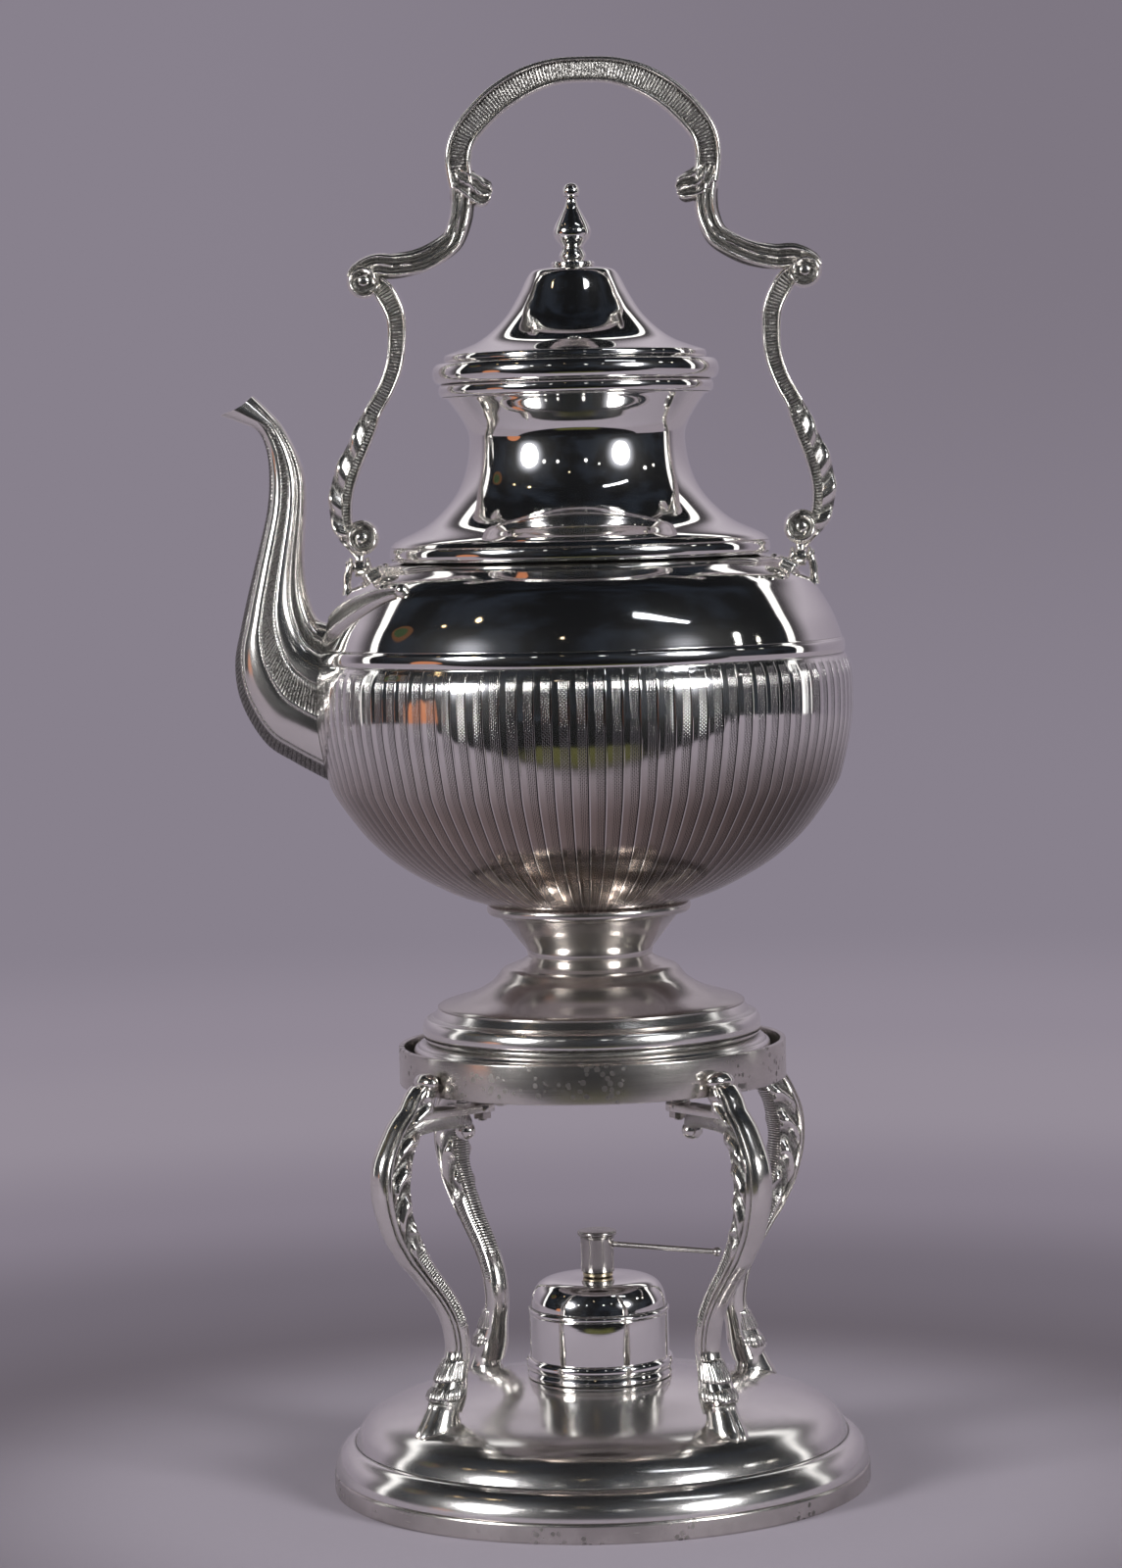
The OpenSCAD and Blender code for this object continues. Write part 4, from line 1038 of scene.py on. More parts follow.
class Stand:
    """Base, four legs and the ring."""

    DOME = ((1, 0), (0.962, 0.238), (0.88, 0.452), (0.715, 0.619), (0.469, 0.762), (0.222, 0.9), (0, 1))
    LEG = (
        (0.000, -0.28, 6.4, 5.6), (0.044, -0.55, 5.8, 5.6), (0.105, -0.81, 4.5, 4.4),
        (0.166, -1.00, 3.9, 4.1), (0.230, -0.94, 3.9, 4.1), (0.297, -0.67, 3.9, 4.0),
        (0.366, -0.14, 3.9, 4.0), (0.437, 0.26, 4.1, 4.2), (0.506, 0.55, 4.2, 4.4),
        (0.571, 0.77, 4.6, 4.8), (0.637, 0.92, 5.0, 5.2), (0.702, 0.99, 5.4, 5.5),
        (0.767, 1.00, 5.7, 5.5), (0.828, 0.92, 5.4, 5.4), (0.889, 0.77, 4.8, 5.2),
        (0.945, 0.53, 4.4, 4.9),
    )
    NAMES = ("leg_front_left", "leg_front_right", "leg_back_left", "leg_back_right")

    def __init__(self, size: StandSize, finishes: Finishes) -> None:
        """Works out the outline of the base's top: a quarter ellipse, then a smooth dome.

        Args:
            size: Its sizes.
            finishes: The materials.
        """
        self.size, self.finishes = size, finishes
        s = size
        a = np.radians(np.arange(0, 90, 7.5))
        crease_r, band_top = s.base_r - s.crease_inset, s.base_r - 0.4
        foot_r = band_top - (band_top - crease_r) * (1 - np.cos(a))
        foot_z = s.band_h + (s.crease_z - s.band_h) * np.sin(a)
        dome = np.asarray(self.DOME) * [crease_r - s.seat_r, s.seat_z - s.crease_z] + [s.seat_r, s.crease_z]
        self.outline = np.vstack([np.stack([foot_r, foot_z], 1), smooth(dome, 8)])

    def height_at(self, r: Array | float) -> Array:
        """Height of the base's top at a distance from the axis."""
        return np.interp(r, self.outline[::-1, 0], self.outline[::-1, 1])

    def base(self) -> None:
        """Band round the foot and spun dish."""
        s, f = self.size, self.finishes
        band = np.array(
            [[s.base_r - s.band_t, 0], [s.base_r - 0.3, 0], [s.base_r, 0.5], [s.base_r, s.band_h - 0.9],
             [s.base_r - 0.4, s.band_h], [s.base_r - s.band_t, s.band_h]]
        )
        obj = make_object("base_rim_band", [lathe(band, 320)])
        settle(obj, "stand", f.ring, Slot.MIRROR, "base_band")
        under = inner(self.outline, s.wall, (1, 0), (0, 1))
        loop = np.vstack([[[0, s.seat_z - s.wall]], under[::-1], self.outline, [[0, s.seat_z]]])
        obj = make_object("base_dome", [lathe(loop, 320, 0.35)])
        settle(obj, "stand", f.base, Slot.MIRROR, "base_dish")

    def leg_path(self) -> Array:
        """Path of a leg in the direction of +X, from the hoof to the knob.

        Returns:
            Rows of x, z, half width and half depth.
        """
        s = self.size
        foot = float(self.height_at(s.hoof_r)) + s.hoof_h
        q = np.asarray(self.LEG)
        bend = q[:, 1] * np.where(q[:, 1] < 0, s.shank_in, s.knee_out)
        x = s.hoof_r + (s.ring_r - s.hoof_r) * q[:, 0] + bend
        z = foot + (s.ring_z - foot) * q[:, 0]
        head = s.ring_r + s.knob_out
        knob = np.array(
            [[head + 2, s.ring_z + 0.1, 4.3, 4.9], [head, s.ring_z + 3.1, 3.6, 4.4],
             [head - 0.3, s.ring_z + 4.6, 2.2, 3.0]]
        )
        return smooth(np.vstack([np.column_stack([x, z, q[:, 2:]]), knob]), 10)

    @staticmethod
    def leg_face(along: Array, across: Array, share: Array) -> Relief:
        """Face of a leg: two grooves on the outer side, a leaf, a lance and ribs on the inner side.

        The leaf's lobes are a cosine of the length plus half of the place across. The dark
        ground shows where the cosine is low.

        Args:
            along: Length along the leg in millimetres.
            across: Place across it, 1 at the outer side.
            share: Share of its length.

        Returns:
            The relief.
        """
        reeds = window(share, 0.14, 0.97, 0.05)
        lines = np.exp(-(((across - 0.68) / 0.06) ** 2)) + np.exp(-(((across - 0.34) / 0.07) ** 2))
        leaf = window(share, 0.5, 0.95, 0.04) * window(across, -0.86, 0.28, 0.14)
        lobes = np.cos(2 * np.pi * (along / 12.5 + 0.5 * across + 0.12 * np.sin(4 * across)))
        ground = np.clip(-1.5 * lobes - 0.25, 0, 1)
        hollow = np.exp(-(((share - 0.53) / 0.025) ** 2) - ((across + 0.35) / 0.32) ** 2)
        lance = window(share, 0.24, 0.5, 0.04) * window(across, -0.62, 0.1, 0.12)
        rib = window(share, 0.3, 0.93, 0.05) * window(across, -1.2, -0.88, 0.08)
        body = np.sqrt(1 - 0.8 * np.abs(across) ** 3.4)
        height = body - 0.3 * reeds * lines + leaf * (0.24 * lobes - 0.1) - 0.32 * hollow - 0.12 * lance
        cut = np.clip(0.85 * reeds * lines + 0.95 * leaf * ground + hollow + 0.5 * lance, 0, 1)
        hatch = np.clip(lance + rib, 0, 1)
        swell = 0.95 * window(share, 0.46, 0.97, 0.08) + 0.12 * leaf.max(1, keepdims=True) * lobes
        return Relief(height, cut, hatch, swell)

    def hoof(self) -> list[Skin]:
        """Hoof and the two tufts over it, as rings of an ellipse that changes with height.

        Both half sizes are drawn in at the cleft in front, by 16 percent on the hoof and by 4
        on the tufts, whose hair adds a cosine of eleven times the angle.

        Returns:
            The skins of a leg in the direction of +X.
        """
        s, a = self.size, (2 * np.pi * (np.arange(64) + 0.5) / 64)[None, :]
        ground = float(self.height_at(s.hoof_r))
        # Height over the base, outward shift, radial and tangential half sizes, darkness, ribs
        hoof = smooth(
            [[0.05, 0, 4.5, 3, 0, 0], [0.05, 0.2, 8.6, 5.9, 0.2, 0], [1.0, 0.3, 8.4, 5.9, 0, 0],
             [3.4, -0.9, 7.1, 5.4, 0, 0], [6.2, -2.1, 6.1, 5.0, 0, 0], [8.6, -2.9, 5.6, 4.8, 0.8, 0],
             [9.0, -2.9, 3.0, 2.6, 1, 0]], 5
        )
        tufts = smooth(
            [[8.2, -2.9, 3.0, 2.6, 1, 0], [8.8, -3.0, 5.8, 5.4, 0.9, 0.4], [10.2, -3.4, 7.0, 6.5, 0, 1],
             [12.4, -4.1, 6.8, 6.3, 0, 1], [14.2, -4.9, 5.7, 5.3, 0.6, 0.6], [15.2, -5.1, 5.3, 4.9, 1, 0.3],
             [16.2, -5.4, 5.9, 5.4, 0.2, 1], [18.0, -5.9, 5.7, 5.2, 0, 1], [20.6, -6.8, 5.0, 4.8, 0, 0.8],
             [22.8, -7.5, 4.4, 4.5, 0, 0.3], [23.8, -7.8, 2.5, 2.5, 0, 0]], 5
        )
        skins = []
        for rows, cleft, comb in ((hoof, 0.16, 0.0), (tufts, 0.04, 0.025)):
            k = rows[:, :, None]
            front = np.minimum(a, 2 * np.pi - a)
            notch = 1 - cleft * np.exp(-((front / 0.16) ** 2)) + comb * np.cos(11 * a) * k[:, 5]
            x = s.hoof_r + k[:, 1] + notch * k[:, 2] * np.cos(a)
            y = notch * k[:, 3] * np.sin(a)
            share = np.clip(k[:, 0] / 6, 0, 1)
            rest = self.height_at(np.hypot(x, y)) * (1 - share) + ground * share
            rings = np.stack([x, y, rest + k[:, 0]], -1)
            skins.append(tube(rings, cut=k[:, 4], hatch=0.7 * k[:, 5], along=5 * a))
        return skins

    def leg(self) -> list[Skin]:
        """Shaft, hoof, scroll under the ring, pad, tab and knob of a leg.

        Returns:
            The skins of a leg in the direction of +X.
        """
        s = self.size
        shaft = cast_bar(self.leg_path(), self.leg_face)
        scroll = smooth(
            [[s.ring_r + 11, s.ring_z - 9.6, 3, 3.6], [s.ring_r + 3, s.ring_z - 7.4, 3.9, 4.1],
             [s.ring_r - 6, s.ring_z - 7.4, 3.6, 4.1], [s.ring_r - 10.5, s.ring_z - 9.0, 3.0, 3.8],
             [s.ring_r - 12.6, s.ring_z - 11.6, 2.2, 3.0]], 8
        )
        # Painted shade: the scroll under the ring is darkened all over (cut 0.55), where the ring and tab
        # shade it.
        curl = marked(cast_bar(scroll[::-1], plain_face), {"cut": 0.55})
        end = ball([s.ring_r - 12.4, 0, s.ring_z - 12.6], [3.3, 3.9, 3.3])
        tab_z = s.ring_z - s.tab_pad - s.tab_t
        hole, post = 1.7, 3.9
        outline = np.array(
            [[hole, tab_z], [s.tab_w / 2, tab_z], [s.tab_w / 2, tab_z + s.tab_t],
             [post, tab_z + s.tab_t + 0.5], [post, s.ring_z], [hole, s.ring_z]]
        )
        pad = lathe(outline, 48, 0.3)
        pad.points[:, 0] += s.screw_at
        half = s.tab_w / 2
        corner = np.array([[half, 0], [half, s.tab_t], [-half, s.tab_t], [-half, 0]], float)
        away = [100, 0]  # eased() leaves corners on the axis alone
        plate = eased(corner + away, 0.35, True) - away
        rows = np.linspace(s.screw_at + 3, s.ring_r + 8, 12)[:, None]
        ring = np.stack([np.zeros(len(plate)), plate[:, 0], plate[:, 1] + tab_z], -1)
        tab = tube(ring[None] + (rows * [1, 0, 0])[:, None, :])
        knob = ball([s.ring_r + 3.6, 0, s.ring_z + 5.8], [3.4, 5.6, 3.1])
        return [shaft, *self.hoof(), curl, end, pad, tab, knob]

    def legs(self) -> None:
        """The four legs."""
        skins = self.leg()
        for name, side in zip(self.NAMES, self.size.sides):
            obj = make_object(f"cast_{name}", [spun(skin, side) for skin in skins], 50)
            settle(obj, "stand", self.finishes.old, Slot.OLD, name)

    def ring(self) -> None:
        """Ring with its inner flange."""
        s = self.size
        profile = np.array(
            [[s.flange_hole, s.ring_z], [s.ring_r, s.ring_z], [s.ring_r, s.ring_z + s.ring_h],
             [s.ring_r - s.ring_wall, s.ring_z + s.ring_h], [s.ring_r - s.ring_wall, s.ring_z + s.flange_t],
             [s.flange_hole, s.ring_z + s.flange_t]]
        )
        obj = make_object("ring_band", [lathe(profile, 320, 0.45)])
        settle(obj, "stand", self.finishes.ring, Slot.OLD, "stand_ring")

    def build(self) -> None:
        """Makes the whole stand."""
        self.base()
        self.legs()
        self.ring()


# Kettle


@dataclass(frozen=True)
class KettleSize:
    """Sizes of the kettle's body."""

    foot_z: float = 145.8
    foot_rim_r: float = 63.0
    foot_rim_h: float = 24.6
    dome_z: float = 170.4
    dome_h: float = 17.6
    waist_r: float = 21.9
    collar_z: float = 188.0
    collar_r: float = 35.9
    foot_wall: float = 1.5
    bowl_z: float = 206.8
    bowl_r: float = 94.4
    bowl_h: float = 85.4
    band_z: float = 292.2
    band_r: float = 91.8
    shoulder_z: float = 298.1
    shoulder_r: float = 90.9
    shoulder_h: float = 29.6
    wall: float = 1.2
    mouth_r: float = 52.0
    flange_r: float = 66.5
    flange_z: float = 327.7
    flange_t: float = 5.0
    neck_z: float = 332.7
    neck_h: float = 51.3
    neck_r: float = 37.8
    rim_z: float = 384.0
    rim_r: float = 50.0
    rim_h: float = 12.0
    rim_hole: float = 42.0
    hinge_x: float = 77.2
    hinge_z: float = 326.0
    panels: int = 100


class Kettle:
    """Foot, bowl, shoulder, neck, leaves and lugs."""

    BOWL = (
        (0, 0), (0.213, 0.0539), (0.481, 0.1546), (0.668, 0.26), (0.796, 0.3653), (0.894, 0.4672),
        (0.9317, 0.535), (0.9846, 0.6967), (1, 0.8173), (0.9915, 0.9391),
    )
    SHOULDER = (
        (1, 0), (0.875, 0.288), (0.643, 0.612), (0.46, 0.758), (0.2, 0.884), (0.01, 0.96), (-0.24, 1),
    )
    NECK = (
        (1, 0), (0.898, 0.045), (0.567, 0.133), (0.335, 0.24), (0.164, 0.357), (0.056, 0.493),
        (0, 0.649), (0.007, 0.766), (0.112, 0.883), (0.235, 0.98), (0.262, 1),
    )

    def __init__(self, size: KettleSize, finishes: Finishes) -> None:
        """Works out the outlines of the bowl and the shoulder.

        Args:
            size: Its sizes.
            finishes: The materials.
        """
        self.size, self.finishes = size, finishes
        s = size
        bowl = np.asarray(self.BOWL) * [s.bowl_r - s.collar_r, s.bowl_h] + [s.collar_r, s.bowl_z]
        self.bowl_line = smooth(np.vstack([bowl, [s.band_r, s.band_z]]), 6)
        top = np.asarray(self.SHOULDER) * [s.shoulder_r - s.flange_r, s.shoulder_h]
        self.shoulder_line = smooth(top + [s.flange_r, s.shoulder_z], 10)

    def radius_at(self, z: Array) -> Array:
        """Radius of the vessel at a height, between the points of its outline.

        Args:
            z: The heights.

        Returns:
            A radius for each.
        """
        shoulder = self.shoulder_line[self.shoulder_line[:, 0] > self.size.flange_r]
        line = np.vstack([self.bowl_line, shoulder])
        return np.interp(z, line[:, 1], line[:, 0])

    def shoulder_at(self, r: Array) -> Array:
        """Height of the shoulder at a distance from the axis."""
        line = self.shoulder_line[::-1]
        return np.interp(r, line[:, 0], line[:, 1])

    def foot(self) -> None:
        """Stepped rim, dome and collar of the kettle's foot."""
        s, f = self.size, self.finishes
        r, z, dome_r = s.foot_rim_r, s.foot_z, s.foot_rim_r - 9
        outer = np.vstack(
            [[[r - 0.7, z], [r - 0.7, z + 5.9]], bead(r - 1.6, z + 6.3, z + 11.5, 1.6),
             [[r - 2.3, z + 12.4]], bead(r - 5.4, z + 13.1, z + s.foot_rim_h - 3.4, 2),
             [[r - 7.4, z + s.foot_rim_h - 2.6], [dome_r, z + s.foot_rim_h]]]
        )
        wall = s.foot_wall
        under = np.array(
            [[dome_r - 2.4, s.dome_z], [dome_r - 2.4, s.dome_z - 1.6], [r - 8.4 - wall, s.dome_z - 3.6],
             [r - 8.4 - wall, z + 12.9], [r - 2.3 - wall, z + 10.9], [r - 0.7 - wall, z + 5.9],
             [r - 0.7 - wall, z]]
        )
        obj = make_object("foot_stepped_rim", [lathe(np.vstack([outer, under]), 320, 0.25)])
        settle(obj, "kettle", f.base, Slot.SATIN, "foot_rim")
        dome = smooth(
            [[dome_r, s.dome_z], [dome_r - 1.2, s.dome_z + 1.4], [dome_r - 12.2, s.dome_z + 4.8],
             [dome_r - 19.3, s.dome_z + 8.8], [dome_r - 23, s.dome_z + s.dome_h - 4.5],
             [s.waist_r + 6.4, s.collar_z - 3.2], [s.waist_r + 2.4, s.collar_z - 1.6],
             [s.waist_r, s.collar_z]]
        )
        shell = lathe(np.vstack([dome, inner(dome, s.foot_wall)[::-1]]), 256, 0.25)
        settle(make_object("foot_spun_dome", [shell]), "kettle", f.satin, Slot.SATIN, "foot_dome")
        curve = smooth(
            [[s.waist_r, s.collar_z], [s.waist_r + 0.5, s.collar_z + 2.4],
             [s.waist_r + 2.8, s.collar_z + 5.4], [s.waist_r + 7, s.collar_z + 10.8]]
        )
        top = s.bowl_z
        collar = np.vstack(
            [curve, [[s.collar_r - 4.4, top - 4.6]], bead(s.collar_r - 1.6, top - 4, top, 1.6),
             [[s.collar_r - 5.6, top], [s.collar_r - 5.6, top - 3.4]], inner(curve, s.foot_wall)[::-1]]
        )
        obj = make_object("foot_waist_collar", [lathe(collar, 256, 0.25)])
        settle(obj, "kettle", f.satin, Slot.SATIN, "foot_collar")

    def panel_relief(self, r: Array, z: Array, angle: Array) -> Array:
        """Relief of the bowl's panels: flat facets, each tilted a little, with a notch between.

        A facet lies under the round by r (1 / cos d - 1 / cos half), with d the angle from its
        middle. The tilt is a sum of two sines of the panel's number.

        Args:
            r: Radius of the round bowl.
            z: The heights.
            angle: The angles in radians.

        Returns:
            Outward offset in millimetres.
        """
        s = self.size
        turns = angle / (2 * np.pi) * s.panels + 1e-6
        share, number = turns % 1, np.floor(turns)
        half = np.pi / s.panels
        facet = r * (1 / np.cos((share - 0.5) * 2 * half) - 1 / np.cos(half))
        tilt = 0.07 * np.sin(number * 2.4) + 0.04 * np.sin(number * 5.1 + 1)
        notch = -0.07 * (share < 0.06)
        low = -0.015 * (share > 0.5)
        fade = window(z, s.bowl_z + 2, s.band_z - 1.6, 1.6)
        outside = r > self.radius_at(z) - 0.6
        return (facet + tilt * (share - 0.5) + notch + low) * fade * outside

    def vessel(self) -> None:
        """Engraved bowl, the band above it and the shoulder."""
        s, f = self.size, self.finishes
        under = inner(self.bowl_line[::2], s.wall, (0, -1))
        loop = np.vstack([[[0, s.bowl_z]], self.bowl_line, under[::-1], [[0, s.bowl_z + s.wall]]])
        bowl = lathe(loop, s.panels * 8, 0, self.panel_relief)
        settle(make_object("bowl_engraved", [bowl]), "kettle", f.panels, Slot.MIRROR, "kettle_bowl")
        band = np.vstack(
            [[[s.band_r - s.wall, s.band_z], [s.band_r - 0.2, s.band_z]],
             bead(s.band_r - 0.5, s.band_z + 0.6, s.shoulder_z - 0.6, 0.6),
             [[s.shoulder_r, s.shoulder_z], [s.shoulder_r - s.wall, s.shoulder_z]]]
        )
        obj = make_object("bowl_band", [lathe(band, 320, 0.2)])
        settle(obj, "kettle", f.mirror, Slot.MIRROR, "body_band")
        outer = np.vstack([self.shoulder_line, [[s.mouth_r, s.flange_z]]])
        shell = lathe(np.vstack([outer, inner(outer, s.wall, (1, 0), (0, 1))[::-1]]), 320, 0.2)
        settle(make_object("shoulder_dome", [shell]), "kettle", f.mirror, Slot.MIRROR, "kettle_shoulder")

    def neck(self) -> None:
        """Flat flange, neck and rim."""
        s, f = self.size, self.finishes
        z, t = s.flange_z, s.flange_t
        flange = np.vstack(
            [[[s.mouth_r, z], [s.flange_r - 0.6, z]], bead(s.flange_r - 0.6, z + 0.5, z + t - 0.5, 0.6),
             [[s.flange_r - 0.8, z + t], [s.mouth_r, z + t]]]
        )
        obj = make_object("neck_flat_flange", [lathe(flange, 320, 0.3)])
        settle(obj, "kettle", f.mirror, Slot.MIRROR, "neck_flange")
        foot_r = s.flange_r - 0.3
        line = smooth(np.asarray(self.NECK) * [foot_r - s.neck_r, s.neck_h] + [s.neck_r, s.neck_z], 8)
        under = inner(line, s.wall)
        under[:, 1] = np.clip(under[:, 1], s.neck_z, s.rim_z)
        obj = make_object("neck_waisted", [lathe(np.vstack([line, under[::-1]]), 320, 0)])
        settle(obj, "kettle", f.mirror, Slot.MIRROR, "neck")
        z = s.rim_z
        moulding = np.vstack(
            [[[s.rim_hole, z], [s.rim_r - 3.4, z]], bead(s.rim_r - 3.4, z + 0.4, z + 4.8, 1.4),
             bead(s.rim_r - 2.2, z + 5, z + s.rim_h, 2.2), [[s.rim_hole, z + s.rim_h]]]
        )
        obj = make_object("neck_rim_moulding", [lathe(moulding, 320, 0.25)])
        settle(obj, "kettle", f.mirror, Slot.MIRROR, "neck_rim")

    def on_shoulder(self, azimuth: Array, r: Array) -> tuple[Array, Array]:
        """Points of the shoulder and its normals, which lean by the slope of its outline.

        Args:
            azimuth: The azimuths in degrees.
            r: The radii.

        Returns:
            The points and the normals.
        """
        a = np.radians(azimuth)
        z = self.shoulder_at(r)
        slope = (self.shoulder_at(r + 0.2) - self.shoulder_at(r - 0.2)) / 0.4
        point = np.stack([r * np.cos(a), r * np.sin(a), z], -1)
        normal = unit(np.stack([-slope * np.cos(a), -slope * np.sin(a), np.ones_like(z)], -1))
        return point, normal

    def leaves(self) -> None:
        """Leaf on each side of the spout: two ridges round a dark channel, and a ball at the tip."""
        table = smooth(
            [[-1, -1, 0], [-1, 0, 0.2], [-0.92, 0.7, 0], [-0.74, 1, 0], [-0.54, 0.7, 0.4], [-0.36, 0.42, 1],
             [0, 0.38, 0.9], [0.36, 0.42, 1], [0.54, 0.7, 0.4], [0.74, 1, 0], [0.92, 0.7, 0], [1, 0, 0.2],
             [1, -1, 0], [0, -1, 0]], 4
        )
        keys = smooth(
            [[188.8, 88.7, 6.0, 1.9], [196, 87.0, 6.2, 2.3], [205, 84.4, 4.7, 2.1], [213, 82.1, 3.0, 1.8],
             [219.5, 80.9, 1.7, 1.4]], 12
        )
        point, normal = self.on_shoulder(keys[:, 0], keys[:, 1])
        blade = ribbon(point, normal, keys[:, 2], keys[:, 3], table)
        tip = self.on_shoulder(np.array([221.0]), np.array([80.7]))[0][0] + [0, 0, 0.9]
        front = [blade, ball(tip, [2.4, 2.4, 2.4])]
        obj = make_object("leaf_front", front, 60)
        settle(obj, "kettle", self.finishes.ribbed, Slot.MIRROR, "spout_leaf_front")
        obj = make_object("leaf_back", [mirrored(skin, 1) for skin in front], 60)
        settle(obj, "kettle", self.finishes.ribbed, Slot.MIRROR, "spout_leaf_back")

    def lug(self) -> list[Skin]:
        """Lug on the +X side: two hooked ears round the hinge, and a curled tendril each way.

        A tendril starts as a spiral on the shoulder, whose radius shrinks with the turn, and
        ends as a stem. Its rows are the length round the shoulder and the radius.

        Returns:
            The skins.
        """
        s = self.size
        x, z = s.hinge_x, s.hinge_z
        outer = smooth(
            [[x + 2.9, z + 3.4, 0.6, 1.4], [x + 3.3, z + 1.8, 1.0, 2.8], [x + 3.9, z - 0.8, 1.3, 3.4],
             [x + 4.5, z - 3.6, 1.5, 3.2], [x + 4.6, z - 6.4, 1.4, 3.2], [x + 4.4, z - 9.4, 2.2, 4.2]], 8
        )
        inside = smooth(
            [[x - 2.9, z + 3.4, 0.6, 1.4], [x - 3.0, z + 1.8, 0.9, 2.8], [x - 3.4, z - 0.4, 1.1, 3.2],
             [x - 4.6, z - 2.2, 1.4, 2.9], [x - 6.4, z - 3.8, 2.0, 3.0]], 8
        )
        skins = [cast_bar(outer, plain_face), cast_bar(inside, plain_face)]
        turn = np.linspace(-0.6 * np.pi, 2.1 * np.pi, 60)
        curl_r = np.interp(turn, [turn[0], turn[-1]], [3.5, 1.0])
        round_at, out_at, arc_r = 12.0, 73.6, 71.0
        curl_round, curl_out = curl_r * np.sin(turn), curl_r * np.cos(turn) * 0.9
        curl = np.stack([round_at - curl_round, out_at - curl_out], -1)[::-1]
        stem = smooth([[16.5, 70.2], [22, 70.9], [30, 69.8], [39, 69.9], [48, 68.9], [58, 68.4]], 10)
        flat = np.vstack([curl[:-1], smooth(np.vstack([curl[-1:], stem[:1]]), 6)[:-1], stem])
        radii = np.interp(np.arange(len(flat)), [0, 20, 70, len(flat) - 1], [0.8, 1.35, 1.4, 0.6])
        for way in (-1, 1):
            point, normal = self.on_shoulder(way * np.degrees(flat[:, 0] / arc_r), flat[:, 1])
            skins.append(wire(point + 0.6 * radii[:, None] * normal, radii))
            link = smooth(
                [[x - 3.2, way * 2.0, z - 2.0], [x - 3.4, way * 4.5, z - 3.2],
                 [x - 3.6, way * 7.6, z - 3.9], [x - 4.6, way * 9.6, z - 3.4]], 8
            )
            skins.append(wire(link, np.full(len(link), 1.3)))
        return skins

    def lugs(self) -> None:
        """Both lugs."""
        skins = self.lug()
        settle(make_object("lug_hook_right", skins, 60), "kettle", self.finishes.old, Slot.OLD, "lug_right")
        other = [mirrored(skin, 0) for skin in skins]
        settle(make_object("lug_hook_left", other, 60), "kettle", self.finishes.old, Slot.OLD, "lug_left")

    def build(self) -> None:
        """Makes the kettle without its spout."""
        self.foot()
        self.vessel()
        self.neck()
        self.leaves()
        self.lugs()


@dataclass(frozen=True)
class SpoutSize:
    """Sizes of the spout."""

    reach: float = 124.4
    start: float = 88.8
    rise: float = 103.0
    root_w: float = 17.0
    mouth_w: float = 6.3
    wall: float = 1.3
    mid_z: float = 276.6
    root_lift: float = 0.05
    dip: float = 0.02


